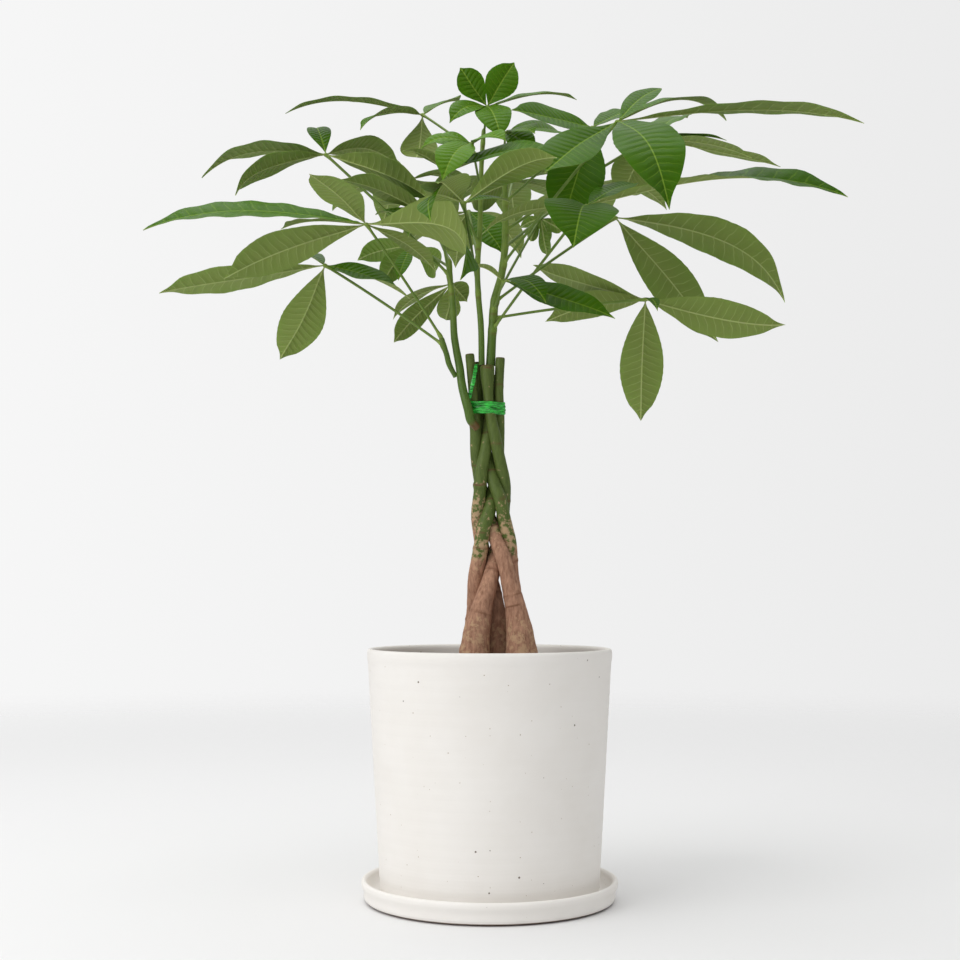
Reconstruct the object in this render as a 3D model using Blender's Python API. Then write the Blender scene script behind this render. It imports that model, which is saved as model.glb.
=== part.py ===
"""A potted money tree: five braided trunks with palmate leaves, in a stoneware pot on a saucer.

Lengths in the code are metres, and tables marked "mm" are millimetres. +Z is up, -Y is the
front, and the origin is the centre of the saucer's base.
"""
import math

import bmesh
import bpy
import numpy as np
from mathutils import Matrix, Vector

MM = 0.001
SHARP_ANGLE = math.radians(50)

# Driving dimensions of the pot and its saucer
RIM_RADIUS = 0.110
FOOT_RADIUS = 0.097
RIM_HEIGHT = 0.222
WALL = 0.006
POT_FLOOR = 0.007
DRAIN_RADIUS = 0.010
SAUCER_RADIUS = 0.114
SAUCER_FOOT = 0.108
SAUCER_HEIGHT = 0.019
SAUCER_WALL = 0.005
SAUCER_FLOOR = 0.007
GAP = 0.0003
TURNED_SEGMENTS = 36

# Soil
SOIL_HEIGHT = 0.202
SOIL_BUMP = 0.0018

# The braid: one plait step is a fifth of a turn of the weave
TRUNK_FOOT = 0.172
BRAID_ANCHOR = 0.299
BRAID_RATE = math.radians(1.32)
PLAIT_STEP = math.radians(72)
BRAID_HEIGHTS = (0.220, 0.290, 0.330, 0.365, 0.410)
BRAID_CENTRES = (0.0085, 0.0045, 0.0030, 0.0020, -0.0015)
BRAID_HALF_WIDTHS = (0.0150, 0.0130, 0.0100, 0.0095, 0.0075)
BRAID_HALF_DEPTHS = (0.0150, 0.0135, 0.0115, 0.0110, 0.0095)
TRUNK_LEVELS = 73
LEVELS_PER_RING = 3
TRUNK_SIDES = 8
TRUNK_CLEARANCE = 0.0009

# The plant tie
TIE_HEIGHT = 0.4395
TIE_BAND = 0.011
TIE_THICKNESS = 0.0014

# Leaves
PETIOLE_RADIUS = 0.0013
TIP_CLEARANCE = 0.0012
SKIN_CLEARANCE = 0.0006
PETIOLE_ARCH = 0.012
HUB_RADIUS = 0.0032
BLADE_THICKNESS = 0.0012
BLADE_FOLD = math.radians(20)
BLADE_STATIONS = (0.12, 0.30, 0.52, 0.76, 1.0)
BOW_SCALE = 2.6

# Trunks, mm: place at the foot, foot radius, place at the tie, place of the cut top, top height,
# top radius
TRUNKS = (
    ((-15, -13), 13.5, (-3, -6), (-2, -4), 478, 6.5),
    ((34, 16), 12.0, (-9, 6), (-11, 6), 483, 4.0),
    ((30, -14), 14.0, (-14, -3), (-18, -3), 489, 4.2),
    ((8, 12), 11.0, (1, 8), (4, 9), 471, 4.4),
    ((-15, 16), 11.5, (6, -1), (10, -1), 486, 4.3),
)

# Shoots, mm: points up the shoot, radius at its foot, radius at its tip
SHOOTS = {
    "shoot_left": (((-17, -13, 427), (-19, -15, 436), (-22, -14, 447), (-25, -9, 460),
                    (-27, -5, 476), (-30, -4, 492), (-32, -3, 505), (-33, -2, 523),
                    (-34, 0, 540), (-36, 1, 558), (-37, 2, 578)), 4.2, 2.4),
    "spur_left": (((-37, -8, 480), (-39, -9, 488), (-42, -10, 497), (-44, -10, 504)), 2.6, 2.4),
    "shoot_middle": (((-7, -2, 479), (-8, -3, 519), (-10, -3, 542), (-11, -3, 567), (-9, -2, 600),
                      (-8, -1, 633), (-7, 0, 670), (-5, 0, 700)), 2.9, 2.0),
    "shoot_right": (((1, 2, 479), (3, 2, 516), (5, 3, 540), (11, 6, 563), (14, 8, 586),
                     (15, 10, 619), (14, 12, 660), (11, 12, 688)), 4.3, 2.2),
}

# Leaves, mm: shoot, height on that shoot, place of the hub, and its leaflets. A leaflet is its
# reach from hub to tip, the bow of its midrib, its width, its roll towards the front in degrees
# and any further twist towards its tip.
LEAVES = {
    "leaf_left_middle": ("spur_left", 506, (-110, -40, 600), (
        ((-195, -20, -10), 15, 42, 34, 0),
        ((-130, 20, -45), 10, 42, -45, 0),
        ((-90, 100, 20), 6, 30, 14, 0),
        ((-40, -100, 18), 2, 38, -10, 0),
        ((85, -95, -70), 38, 64, -42, 0),
        ((60, 45, -32), 6, 28, -5, 0))),
    "leaf_left_low": ("spur_left", 496, (-153, 20, 576), (
        ((-150, -20, -30), 3, 38, -30, 0),
        ((-40, -10, -90), 8, 42, -88, 0),
        ((80, -20, -35), 8, 44, 60, -70),
        ((-45, 90, 25), 8, 30, 0, 0))),
    "leaf_left_high": ("shoot_left", 562, (-154, 30, 684), (
        ((-115, -10, -25), 17, 46, -12, 20),
        ((-75, -60, -55), 14, 36, -30, 0),
        ((-16, 50, 40), 8, 24, 30, 0),
        ((68, 42, 0), 16, 34, -30, 0),
        ((100, -75, -62), 6, 46, -35, 0))),
    "leaf_left_top": ("shoot_middle", 672, (-64, 60, 732), (
        ((-130, -20, -5), 13, 38, 6, 10),
        ((-55, -65, -35), 10, 30, -10, 0),
        ((-4, -42, -54), 8, 38, -75, 0),
        ((35, 80, 40), 4, 34, -15, 0))),
    "leaf_centre_left": ("shoot_left", 549, (-45, -30, 604), (
        ((-90, -5, 38), 6, 44, -10, 0),
        ((-60, 30, 15), 6, 28, 25, 0),
        ((-60, 70, 32), 8, 30, 10, 0),
        ((-28, -4, -14), 8, 24, 30, 0))),
    "leaf_centre_front": ("shoot_middle", 545, (-22, -115, 600), (
        ((75, -65, 20), 10, 38, -25, 0),
        ((-20, -80, -5), 6, 44, -35, 0),
        ((40, 55, 15), 4, 18, 30, 0),
        ((-25, -75, -35), 18, 30, -45, 0))),
    "leaf_centre": ("shoot_middle", 590, (-38, -50, 645), (
        ((100, -35, 5), 10, 42, 35, 0),
        ((-38, -24, 12), 5, 28, 10, 0),
        ((0, 48, -14), 5, 24, 10, 0))),
    "leaf_right_front": ("shoot_right", 574, (111, -80, 681), (
        ((35, -75, -97), 24, 60, 55, 0),
        ((-66, -60, -62), 2, 48, 50, 0),
        ((50, 90, 60), 4, 24, 40, 0),
        ((105, 60, 20), 19, 34, 15, 0),
        ((220, 20, 5), 12, 38, 0, 0))),
    "leaf_right_top": ("shoot_right", 633, (94, -15, 696), (
        ((-75, -45, 2), 1, 42, 50, 0),
        ((-25, 5, -88), 12, 56, 50, 0),
        ((45, 80, 40), 4, 30, 30, 0))),
    "leaf_right_back": ("shoot_right", 606, (156, 50, 706), (
        ((70, -10, -5), 4, 18, 10, 0),
        ((90, -30, -28), 5, 28, -5, 0),
        ((125, 10, -25), 2, 30, 0, 0),
        ((-30, -20, -60), 6, 42, -75, 0),
        ((50, 110, 55), 6, 38, 0, 0))),
    "leaf_right_long": ("shoot_right", 512, (83, -85, 605), (
        ((230, 15, 12), 23, 58, -15, 62),
        ((-15, -60, -50), 16, 66, 60, 0),
        ((-90, -65, -40), 10, 30, -20, 0),
        ((55, 95, 45), 4, 30, 25, 0))),
    "leaf_right_middle": ("shoot_right", 538, (120, 40, 626), (
        ((155, -20, -85), 60, 44, -45, 0),
        ((96, 0, -119), 8, 44, -80, 0),
        ((-50, 70, 10), 6, 30, -10, 0))),
    "leaf_right_low": ("shoot_right", 523, (142, -10, 538), (
        ((125, -10, -25), -18, 38, -60, 0),
        ((-4, 10, -110), 6, 42, -88, 0),
        ((-90, 30, -15), 8, 30, -50, 0),
        ((-100, 60, 45), -6, 32, -40, 0),
        ((5, -50, -20), 6, 12, 0, 0))),
    "leaf_low_front": ("shoot_right", 530, (12, -55, 546), (
        ((95, -35, -40), 4, 34, 50, 0),
        ((35, -55, -30), 10, 26, 40, 0),
        ((-35, -12, 5), 8, 26, 10, 0))),
    "leaf_young_hanging": ("shoot_right", 540, (50, 70, 633), (
        ((5, -20, -40), 4, 12, -60, 0),
        ((10, 20, -20), 4, 12, -60, 0),
        ((-10, -10, -25), 4, 12, -60, 0),
        ((-20, 20, -5), 4, 12, -60, 0),
        ((20, -10, -15), 4, 14, -60, 0))),
    "leaf_back_left": ("shoot_left", 570, (-77, 110, 615), (
        ((-25, -20, -40), 8, 26, -60, 0),
        ((-10, -50, -45), 6, 16, 40, 0),
        ((25, -40, -35), 8, 30, -60, 0),
        ((-55, 20, -10), 10, 28, -50, 0),
        ((-15, 60, 5), 6, 34, 0, 0))),
    "leaf_low_back": ("shoot_left", 527, (-36, 75, 570), (
        ((-55, -15, -60), 8, 24, -60, 0),
        ((-60, 55, -25), 8, 22, 0, 0),
        ((-5, -25, -40), 6, 24, -70, 0),
        ((15, 15, -15), 6, 24, -70, 0))),
    "leaf_crown": ("shoot_middle", 686, (-2, -10, 717), (
        ((-25, -5, 35), 2, 27, 85, 0),
        ((25, -5, 40), 2, 32, 85, 0),
        ((12, -44, -44), 10, 34, 62, 0),
        ((-34, -28, -24), 8, 28, 45, 0),
        ((85, 40, 20), 8, 26, 20, 0))),
    "leaf_young_bright": ("shoot_middle", 640, (-16, -45, 672), (
        ((-25, -50, -48), 12, 34, 50, 0),
        ((30, -35, -8), 6, 26, 45, 0),
        ((-45, -10, -8), 8, 18, 40, 0),
        ((-35, 15, 6), 4, 22, 50, 0))),
    "leaf_right_bright": ("shoot_right", 672, (15, -12, 692), (
        ((25, -50, -16), 4, 26, 50, 0),
        ((55, 40, 10), 6, 36, 40, 0),
        ((25, -20, -25), 6, 26, 70, 0))),
    "leaf_rear_left": ("shoot_left", 576, (-80, 155, 695), (
        ((-85, 50, -20), 14, 42, 0, 0),
        ((-35, 100, -25), 16, 44, 0, 0),
        ((40, 95, -30), 16, 42, 0, 0),
        ((60, 10, -5), 10, 34, 0, 0),
        ((-50, -50, 5), 8, 30, 0, 0))),
    "leaf_rear_middle": ("shoot_right", 620, (25, 165, 695), (
        ((-60, 75, -5), 14, 40, 0, 0),
        ((5, 120, -25), 20, 44, 0, 0),
        ((75, 85, -20), 16, 42, 0, 0),
        ((60, -30, -5), 8, 34, 0, 0),
        ((-42, -45, -34), 8, 38, -60, 0))),
    "leaf_rear_right": ("shoot_right", 590, (100, 135, 682), (
        ((90, 75, -5), 16, 42, 0, 0),
        ((25, 110, -15), 18, 44, 0, 0),
        ((-50, 60, -25), 10, 38, 0, 0),
        ((-25, -65, -10), 6, 30, 0, 0))),
    "leaf_rear_low": ("shoot_middle", 575, (-20, 130, 655), (
        ((-70, 70, -25), 12, 40, 0, 0),
        ((-15, 105, -35), 16, 42, 0, 0),
        ((55, 80, -30), 14, 38, 0, 0),
        ((-24, -44, -46), 8, 36, -70, 0),
        ((34, -38, -52), 8, 36, 60, 0))),
}

COLOURS = {
    "stoneware": ((0.80, 0.78, 0.73), 0.6),
    "soil": ((0.045, 0.030, 0.020), 0.95),
    "bark": ((0.28, 0.17, 0.10), 0.8),
    "tie": ((0.01, 0.45, 0.10), 0.35),
    "green_stem": ((0.12, 0.20, 0.03), 0.55),
    "leaf": ((0.08, 0.18, 0.02), 0.4),
}


def clear_scene():
    """Remove whatever objects the open file holds."""
    for old in list(bpy.data.objects):
        bpy.data.objects.remove(old, do_unlink=True)


def finish_named(name):
    """A Principled material with the colour and roughness of one finish."""
    found = bpy.data.materials.get(name)
    if found:
        return found
    colour, roughness = COLOURS[name]
    look = bpy.data.materials.new(name)
    look.use_nodes = True
    shader = look.node_tree.nodes["Principled BSDF"]
    shader.inputs["Base Color"].default_value = (*colour, 1.0)
    shader.inputs["Roughness"].default_value = roughness
    shader.inputs["Metallic"].default_value = 0.0
    look.diffuse_color = (*colour, 1.0)
    return look


def place(name, mesh, finish):
    """Link one named object that holds the mesh, in the given finish."""
    mesh.name = name
    mesh.materials.clear()
    mesh.materials.append(finish_named(finish))
    body = bpy.data.objects.new(name, mesh)
    bpy.context.collection.objects.link(body)
    return body


def shade_round(body):
    """Shade a round piece smooth, but for its real corners."""
    body.data.shade_smooth()
    body.data.set_sharp_from_angle(angle=SHARP_ANGLE)


def close_mesh(bm, name):
    """Turn a bmesh into a mesh whose faces all point out."""
    bmesh.ops.recalc_face_normals(bm, faces=bm.faces)
    mesh = bpy.data.meshes.new(name)
    bm.to_mesh(mesh)
    bm.free()
    return mesh


def combine(body, tools, operation):
    """Apply one exact Boolean between a body and a list of closed meshes."""
    bench = bpy.data.collections.new("bench")
    bpy.context.scene.collection.children.link(bench)
    for mesh in tools:
        tool = bpy.data.objects.new("tool", mesh)
        tool.hide_render = True
        tool.display_type = "WIRE"
        bench.objects.link(tool)
    step = body.modifiers.new("combine", "BOOLEAN")
    step.operation = operation
    step.operand_type = "COLLECTION"
    step.collection = bench
    step.solver = "EXACT"
    evaluated = body.evaluated_get(bpy.context.evaluated_depsgraph_get())
    result = bpy.data.meshes.new_from_object(evaluated)
    body.modifiers.remove(step)
    body.data = result
    for tool in list(bench.objects):
        bpy.data.objects.remove(tool, do_unlink=True)
    bpy.data.collections.remove(bench)


def turned(name, outline, finish):
    """Turn a closed outline of (radius, height) points once round the Z axis."""
    bm = bmesh.new()
    corners = [bm.verts.new((radius, 0.0, height)) for radius, height in outline]
    edges = [bm.edges.new((a, b)) for a, b in zip(corners, corners[1:] + corners[:1])]
    bmesh.ops.spin(bm, geom=corners + edges, cent=(0, 0, 0), axis=(0, 0, 1),
                   angle=2 * math.pi, steps=TURNED_SEGMENTS, use_merge=True, use_duplicate=False)
    bmesh.ops.remove_doubles(bm, verts=bm.verts, dist=0.00001)
    body = place(name, close_mesh(bm, name), finish)
    shade_round(body)
    return body


def pot_radius(height):
    """Outer radius of the tapered wall at a height."""
    share = (height - SAUCER_FLOOR) / (RIM_HEIGHT - 0.012 - SAUCER_FLOOR)
    return FOOT_RADIUS + (RIM_RADIUS - 0.0006 - FOOT_RADIUS) * min(share, 1.0)


def make_pot():
    """Tapered pot with a rounded lip, a shallow foot ring and a drain hole."""
    foot = SAUCER_FLOOR + GAP
    floor_top = foot + POT_FLOOR
    lip = RIM_HEIGHT
    inside = pot_radius(floor_top) - WALL
    outline = [
        (FOOT_RADIUS, foot),
        (RIM_RADIUS - 0.0006, lip - 0.012),
        (RIM_RADIUS, lip - 0.006),
        (RIM_RADIUS, lip - 0.0018),
        (RIM_RADIUS - 0.0015, lip - 0.0002),
        (RIM_RADIUS - 0.0035, lip - 0.0002),
        (RIM_RADIUS - 0.0050, lip - 0.0018),
        (RIM_RADIUS - WALL, lip - 0.012),
        (inside, floor_top + 0.004),
        (inside - 0.004, floor_top),
        (DRAIN_RADIUS, floor_top),
        (DRAIN_RADIUS, foot + 0.002),
        (FOOT_RADIUS - 0.011, foot + 0.002),
        (FOOT_RADIUS - 0.010, foot),
    ]
    return turned("pot", outline, "stoneware")


def make_saucer():
    """Saucer with a rounded rim: a turned ring whose open middle a flat disc closes."""
    rim = SAUCER_RADIUS
    top = SAUCER_HEIGHT
    outline = [
        (0.0, 0.0),
        (SAUCER_FOOT, 0.0),
        (SAUCER_FOOT + 0.004, 0.002),
        (rim - 0.002, top - 0.009),
        (rim, top - 0.003),
        (rim - 0.001, top - 0.0007),
        (rim - 0.0025, top),
        (rim - 0.0042, top - 0.0010),
        (rim - SAUCER_WALL, top - 0.0030),
        (rim - SAUCER_WALL - 0.004, SAUCER_FLOOR + 0.0015),
        (rim - SAUCER_WALL - 0.008, SAUCER_FLOOR),
        (0.0, SAUCER_FLOOR),
    ]
    bm = bmesh.new()
    corners = [bm.verts.new((radius, 0.0, height)) for radius, height in outline]
    edges = [bm.edges.new(pair) for pair in zip(corners, corners[1:])]
    bmesh.ops.spin(bm, geom=corners + edges, cent=(0, 0, 0), axis=(0, 0, 1),
                   angle=2 * math.pi, steps=TURNED_SEGMENTS, use_merge=True, use_duplicate=False)
    bmesh.ops.remove_doubles(bm, verts=bm.verts, dist=0.00001)
    saucer = place("saucer", close_mesh(bm, "saucer"), "stoneware")
    shade_round(saucer)
    return saucer


def braid_guide():
    """Centre points of the five trunks at every level, before they are eased apart.

    The weave is the plait figure x = sin t, y = sin 2t, with the trunks a fifth of a turn
    apart. It gives way to the trunks' own places below, at the soil, and above, at the tie.
    """
    guide = []
    for index, row in enumerate(TRUNKS):
        foot, tied, top, top_height = row[0], row[2], row[3], row[4]
        points = []
        for level in range(TRUNK_LEVELS):
            share = level / (TRUNK_LEVELS - 1)
            height = TRUNK_FOOT + (top_height * MM - TRUNK_FOOT) * share
            angle = (height - BRAID_ANCHOR) / MM * BRAID_RATE + index * PLAIT_STEP
            centre = float(np.interp(height, BRAID_HEIGHTS, BRAID_CENTRES))
            width = float(np.interp(height, BRAID_HEIGHTS, BRAID_HALF_WIDTHS))
            depth = float(np.interp(height, BRAID_HEIGHTS, BRAID_HALF_DEPTHS))
            x = centre + width * math.sin(angle)
            y = depth * math.sin(2 * angle)
            low = 1.0 - smooth(0.225, 0.290, height)
            mid = smooth(0.415, 0.438, height)
            high = smooth(0.445, 0.478, height)
            for place_mm, pull in ((foot, low), (tied, mid), (top, high)):
                x += (place_mm[0] * MM - x) * pull
                y += (place_mm[1] * MM - y) * pull
            points.append((x, y, height))
        guide.append(points)
    return np.array(guide)


def smooth(low, high, value):
    """Ease from 0 to 1 as the value goes from low to high."""
    share = min(max((value - low) / (high - low), 0.0), 1.0)
    return share * share * (3.0 - 2.0 * share)


def trunk_radius(index, height):
    """Radius of one trunk: thick at the soil, slim in the braid, a little swollen at its cut top."""
    foot_radius = TRUNKS[index][1] * MM
    top_height = TRUNKS[index][4] * MM
    top_radius = TRUNKS[index][5] * MM
    shape = ((0.172, 1.05), (0.220, 1.0), (0.262, 0.68), (0.300, 0.50), (0.320, 0.45),
             (0.345, 0.41), (0.409, 0.36), (0.434, 0.335))
    heights = [point[0] for point in shape]
    shares = [point[1] for point in shape]
    slim = 0.0125 * float(np.interp(height, heights, shares))
    slim += (foot_radius - 0.0125) * (1.0 - smooth(0.22, 0.30, height))
    return slim + (top_radius - slim) * smooth(0.445, top_height - 0.004, height)


def ease_apart(guide, radii):
    """Push the centre lines apart until neighbouring trunks clear each other, keeping them smooth."""
    lines = guide.copy()
    pairs = [(a, b) for a in range(len(lines)) for b in range(a + 1, len(lines))]
    for turn in range(240):
        for a, b in pairs:
            apart = lines[a][:, None, :] - lines[b][None, :, :]
            distance = np.linalg.norm(apart, axis=2)
            wanted = radii[a][:, None] + radii[b][None, :] + TRUNK_CLEARANCE
            short = np.maximum(wanted - distance, 0.0)
            flat = apart[:, :, :2]
            reach = np.maximum(np.linalg.norm(flat, axis=2), 0.0005)
            push = flat / reach[:, :, None] * short[:, :, None] * 0.5
            strongest_a = np.argmax(short, axis=1)
            strongest_b = np.argmax(short, axis=0)
            rows = np.arange(TRUNK_LEVELS)
            lines[a][:, :2] += push[rows, strongest_a]
            lines[b][:, :2] -= push[strongest_b, rows]
        if turn < 200:
            middle = (lines[:, :-2, :2] + lines[:, 2:, :2]) / 2
            lines[:, 1:-1, :2] += (middle - lines[:, 1:-1, :2]) * 0.25
    return lines


def tube(points, radii, sides):
    """Closed tube through points, with its own radius at each one and flat ends."""
    points = [Vector(point) for point in points]
    bm = bmesh.new()
    rings = []
    side = None
    for index, point in enumerate(points):
        before = points[max(index - 1, 0)]
        after = points[min(index + 1, len(points) - 1)]
        along = (after - before).normalized()
        if side is None:
            side = along.orthogonal().normalized()
            if abs(along.z) > 0.5:
                side = (Vector((1, 0, 0)) - along * along.x).normalized()
        side = (side - along * side.dot(along)).normalized()
        other = along.cross(side)
        ring = []
        for step in range(sides):
            angle = 2 * math.pi * step / sides
            offset = side * math.cos(angle) + other * math.sin(angle)
            ring.append(bm.verts.new(point + offset * radii[index]))
        rings.append(ring)
    for low, high in zip(rings, rings[1:]):
        for step in range(sides):
            after = (step + 1) % sides
            bm.faces.new((low[step], low[after], high[after], high[step]))
    bm.faces.new(reversed(rings[0]))
    bm.faces.new(rings[-1])
    return close_mesh(bm, "tube")


def make_trunks():
    """Five trunks; returns their centre lines and radii at every level."""
    guide = braid_guide()
    radii = np.array([[trunk_radius(index, point[2]) for point in line]
                      for index, line in enumerate(guide)])
    lines = ease_apart(guide, radii)
    for index, line in enumerate(lines):
        rings = line[::LEVELS_PER_RING]
        sizes = radii[index][::LEVELS_PER_RING]
        body = place(f"trunk_{index + 1}", tube(rings, sizes, TRUNK_SIDES), "bark")
        shade_round(body)
    return lines, radii


def make_soil(lines, radii):
    """Bumpy potting soil inside the pot, with a pocket for the foot of each trunk."""
    low = SAUCER_FLOOR + GAP + POT_FLOOR + 0.005
    rings = (0.0, 0.35, 0.62, 0.84, 1.0)
    segments = 24
    edge = (pot_radius(SOIL_HEIGHT) - WALL - 2 * GAP) * 0.998
    bm = bmesh.new()
    centre = bm.verts.new((0, 0, SOIL_HEIGHT))
    loops = []
    for share in rings[1:]:
        loop = []
        for step in range(segments):
            angle = 2 * math.pi * step / segments
            bump = math.sin(3 * angle + 9 * share) + math.sin(5 * angle - 7 * share)
            bump *= SOIL_BUMP * 0.5 * (1.0 if share < 1.0 else 0.3)
            place_x = edge * share * math.cos(angle)
            place_y = edge * share * math.sin(angle)
            loop.append(bm.verts.new((place_x, place_y, SOIL_HEIGHT + bump)))
        loops.append(loop)
    base_edge = (pot_radius(low) - WALL - 2 * GAP) * 0.995
    loops.append([bm.verts.new((base_edge * math.cos(2 * math.pi * step / segments),
                                base_edge * math.sin(2 * math.pi * step / segments), low))
                  for step in range(segments)])
    for step in range(segments):
        after = (step + 1) % segments
        bm.faces.new((centre, loops[0][step], loops[0][after]))
        for inner, outer in zip(loops, loops[1:]):
            bm.faces.new((inner[step], outer[step], outer[after], inner[after]))
    bm.faces.new(list(reversed(loops[-1])))
    soil = place("soil", close_mesh(bm, "soil"), "soil")
    pockets = []
    for line, sizes in zip(lines, radii):
        foot = line[0] - (line[LEVELS_PER_RING] - line[0]) * 0.05
        levels = range(LEVELS_PER_RING, 5 * LEVELS_PER_RING, LEVELS_PER_RING)
        path = [foot] + [line[level] for level in levels]
        wide = [sizes[0] + 2 * GAP] + [sizes[level] + 2 * GAP for level in levels]
        pockets.append(tube(path, wide, TRUNK_SIDES))
    combine(soil, pockets, "DIFFERENCE")
    return soil


def tie_outline(lines, radii, gap):
    """Outline of a loop pulled round every trunk at the tie, a given gap outside them."""
    half = TIE_BAND / 2
    circles = []
    for line, sizes in zip(lines, radii):
        for point, size in zip(line, sizes):
            if abs(point[2] - TIE_HEIGHT) < half + 0.004:
                circles.append((point[0], point[1], size))
    outline = []
    steps = 28
    for step in range(steps):
        angle = 2 * math.pi * step / steps
        aim = (math.cos(angle), math.sin(angle))
        x, y, size = max(circles, key=lambda c: c[0] * aim[0] + c[1] * aim[1] + c[2])
        outline.append((x + (size + gap) * aim[0], y + (size + gap) * aim[1]))
    return outline


def make_tie(lines, radii):
    """Plastic plant tie: a band pulled round the trunks, with its twisted end standing up."""
    inner = tie_outline(lines, radii, 0.0007)
    outer = tie_outline(lines, radii, 0.0007 + TIE_THICKNESS)
    low = TIE_HEIGHT - TIE_BAND / 2
    high = TIE_HEIGHT + TIE_BAND / 2
    bm = bmesh.new()
    loops = [[bm.verts.new((x, y, z)) for x, y in outline]
             for outline, z in ((inner, low), (outer, low), (outer, high), (inner, high))]
    for now, then in zip(loops, loops[1:] + loops[:1]):
        for step in range(len(now)):
            after = (step + 1) % len(now)
            bm.faces.new((now[step], now[after], then[after], then[step]))
    tie = place("plant_tie", close_mesh(bm, "plant_tie"), "tie")
    front = min(outer, key=lambda corner: corner[1] + 0.6 * corner[0])
    start = Vector((front[0], front[1] + 0.0004, TIE_HEIGHT + 0.001))
    tail = [start, start + Vector((0.001, -0.0020, 0.010)), start + Vector((0.004, -0.0030, 0.022)),
            start + Vector((0.006, -0.0032, 0.032))]
    combine(tie, [tube(tail, [0.0013, 0.0013, 0.0012, 0.0011], 6)], "UNION")
    return tie


def shoot_at(name, height):
    """Centre and radius of a shoot at a height in mm."""
    points, foot_radius, tip_radius = SHOOTS[name]
    heights = [point[2] for point in points]
    x = float(np.interp(height, heights, [point[0] for point in points]))
    y = float(np.interp(height, heights, [point[1] for point in points]))
    share = (height - heights[0]) / (heights[-1] - heights[0])
    radius = foot_radius + (tip_radius - foot_radius) * min(max(share, 0.0), 1.0)
    return Vector((x, y, height)) * MM, radius * MM


def make_shoots():
    """Green shoots that rise from the cut trunks, and the spur on the left one."""
    for name, (points, foot_radius, tip_radius) in SHOOTS.items():
        path = [Vector(point) * MM for point in points]
        sizes = [shoot_at(name, point[2])[1] for point in points]
        if name == "spur_left":
            start, radius = shoot_at("shoot_left", 474)
            aim = (path[0] - start).normalized()
            path.insert(0, start + aim * (radius + 0.0030))
            sizes.insert(0, sizes[0])
        body = place(name, tube(path, sizes, 8), "green_stem")
        shade_round(body)


def blade_share(station):
    """Width of a leaflet at a station, as a share of its widest: a stalk, then a pointed oval."""
    stalk = 0.06
    along = max((station - stalk) / (1.0 - stalk), 0.0)
    return 0.05 + 0.95 * math.sin(math.pi * along ** 1.1) ** 0.8 if 0.0 < along < 1.0 else 0.05


def bow_share(station):
    """How far the midrib stands off its chord: nearly straight at first, drooping at the tip."""
    return BOW_SCALE * station * (1 - station ** 2)


def leaflet(hub, row):
    """Closed, thin, folded blade from the hub to its tip."""
    reach, bow, width, roll, twist = row
    reach = Vector(reach) * MM
    axis = reach.normalized()
    bm = bmesh.new()
    rings = []
    lift = None
    start = 0.001 / reach.length
    for station in (start,) + BLADE_STATIONS:
        turn = math.radians(roll + twist * station)
        hint = Vector((0.0, -math.sin(turn), math.cos(turn)))
        upper = (hint - axis * hint.dot(axis)).normalized()
        lift = lift or upper
        point = hub + reach * station + lift * (bow * MM * bow_share(station))
        along = (reach + lift * (bow * MM * BOW_SCALE * (1 - 3 * station ** 2))).normalized()
        side = along.cross(upper).normalized()
        upper = side.cross(along)
        half = width * MM / 2 * blade_share(station)
        edge_up = upper * (half * math.sin(BLADE_FOLD))
        edge_out = side * (half * math.cos(BLADE_FOLD))
        core = upper * (BLADE_THICKNESS / 2)
        corners = (point - edge_out + edge_up, point + core, point + edge_out + edge_up, point - core)
        rings.append([bm.verts.new(corner) for corner in corners])
    for low, high in zip(rings, rings[1:]):
        for edge, core in ((0, 1), (0, 3), (2, 1), (2, 3)):
            bm.faces.new((low[edge], low[core], high[core]))
            bm.faces.new((low[edge], high[core], high[edge]))
    bm.faces.new(reversed(rings[0]))
    bm.faces.new(rings[-1])
    return close_mesh(bm, "leaflet")


def petiole(shoot, height, hub):
    """Leaf stalk from just off its shoot to the hub, with a slight arch."""
    centre, radius = shoot_at(shoot, height)
    below, _ = shoot_at(shoot, height - 6)
    aim = (hub - centre).normalized()
    tip_height = SHOOTS[shoot][0][-1][2]
    if height > tip_height:
        start = shoot_at(shoot, tip_height)[0] + aim * (PETIOLE_RADIUS + TIP_CLEARANCE)
    else:
        slant = max(aim.cross((centre - below).normalized()).length, 0.3)
        start = centre + aim * ((radius + PETIOLE_RADIUS + SKIN_CLEARANCE) / slant)
    span = hub - start
    arch = Vector((0, 0, 1)) * (span.length * PETIOLE_ARCH)
    points = []
    for step in range(6):
        share = step / 5
        points.append(start + span * share + arch * (4 * share * (1 - share)))
    return tube(points, [PETIOLE_RADIUS] * 6, 5)


def fill_pockets(body):
    """Keep the outer skin only, so small pockets sealed between leaflet roots become solid."""
    bm = bmesh.new()
    bm.from_mesh(body.data)
    left = set(bm.verts)
    skins = []
    while left:
        skin = set()
        edge_of_skin = [left.pop()]
        while edge_of_skin:
            corner = edge_of_skin.pop()
            skin.add(corner)
            for edge in corner.link_edges:
                other = edge.other_vert(corner)
                if other in left:
                    left.remove(other)
                    edge_of_skin.append(other)
        skins.append(skin)
    skins.sort(key=len)
    for skin in skins[:-1]:
        bmesh.ops.delete(bm, geom=list(skin), context="VERTS")
    bm.to_mesh(body.data)
    bm.free()


def make_leaf(name, shoot, height, hub, leaflets):
    """One palmate leaf: hub, stalk and leaflets joined into a single solid."""
    hub = Vector(hub) * MM
    bm = bmesh.new()
    bmesh.ops.create_icosphere(bm, subdivisions=1, radius=HUB_RADIUS,
                               matrix=Matrix.Translation(hub))
    leaf = place(name, close_mesh(bm, name), "leaf")
    parts = [petiole(shoot, height, hub)]
    parts += [leaflet(hub, row) for row in leaflets]
    combine(leaf, parts, "UNION")
    fill_pockets(leaf)
    return leaf


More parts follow.
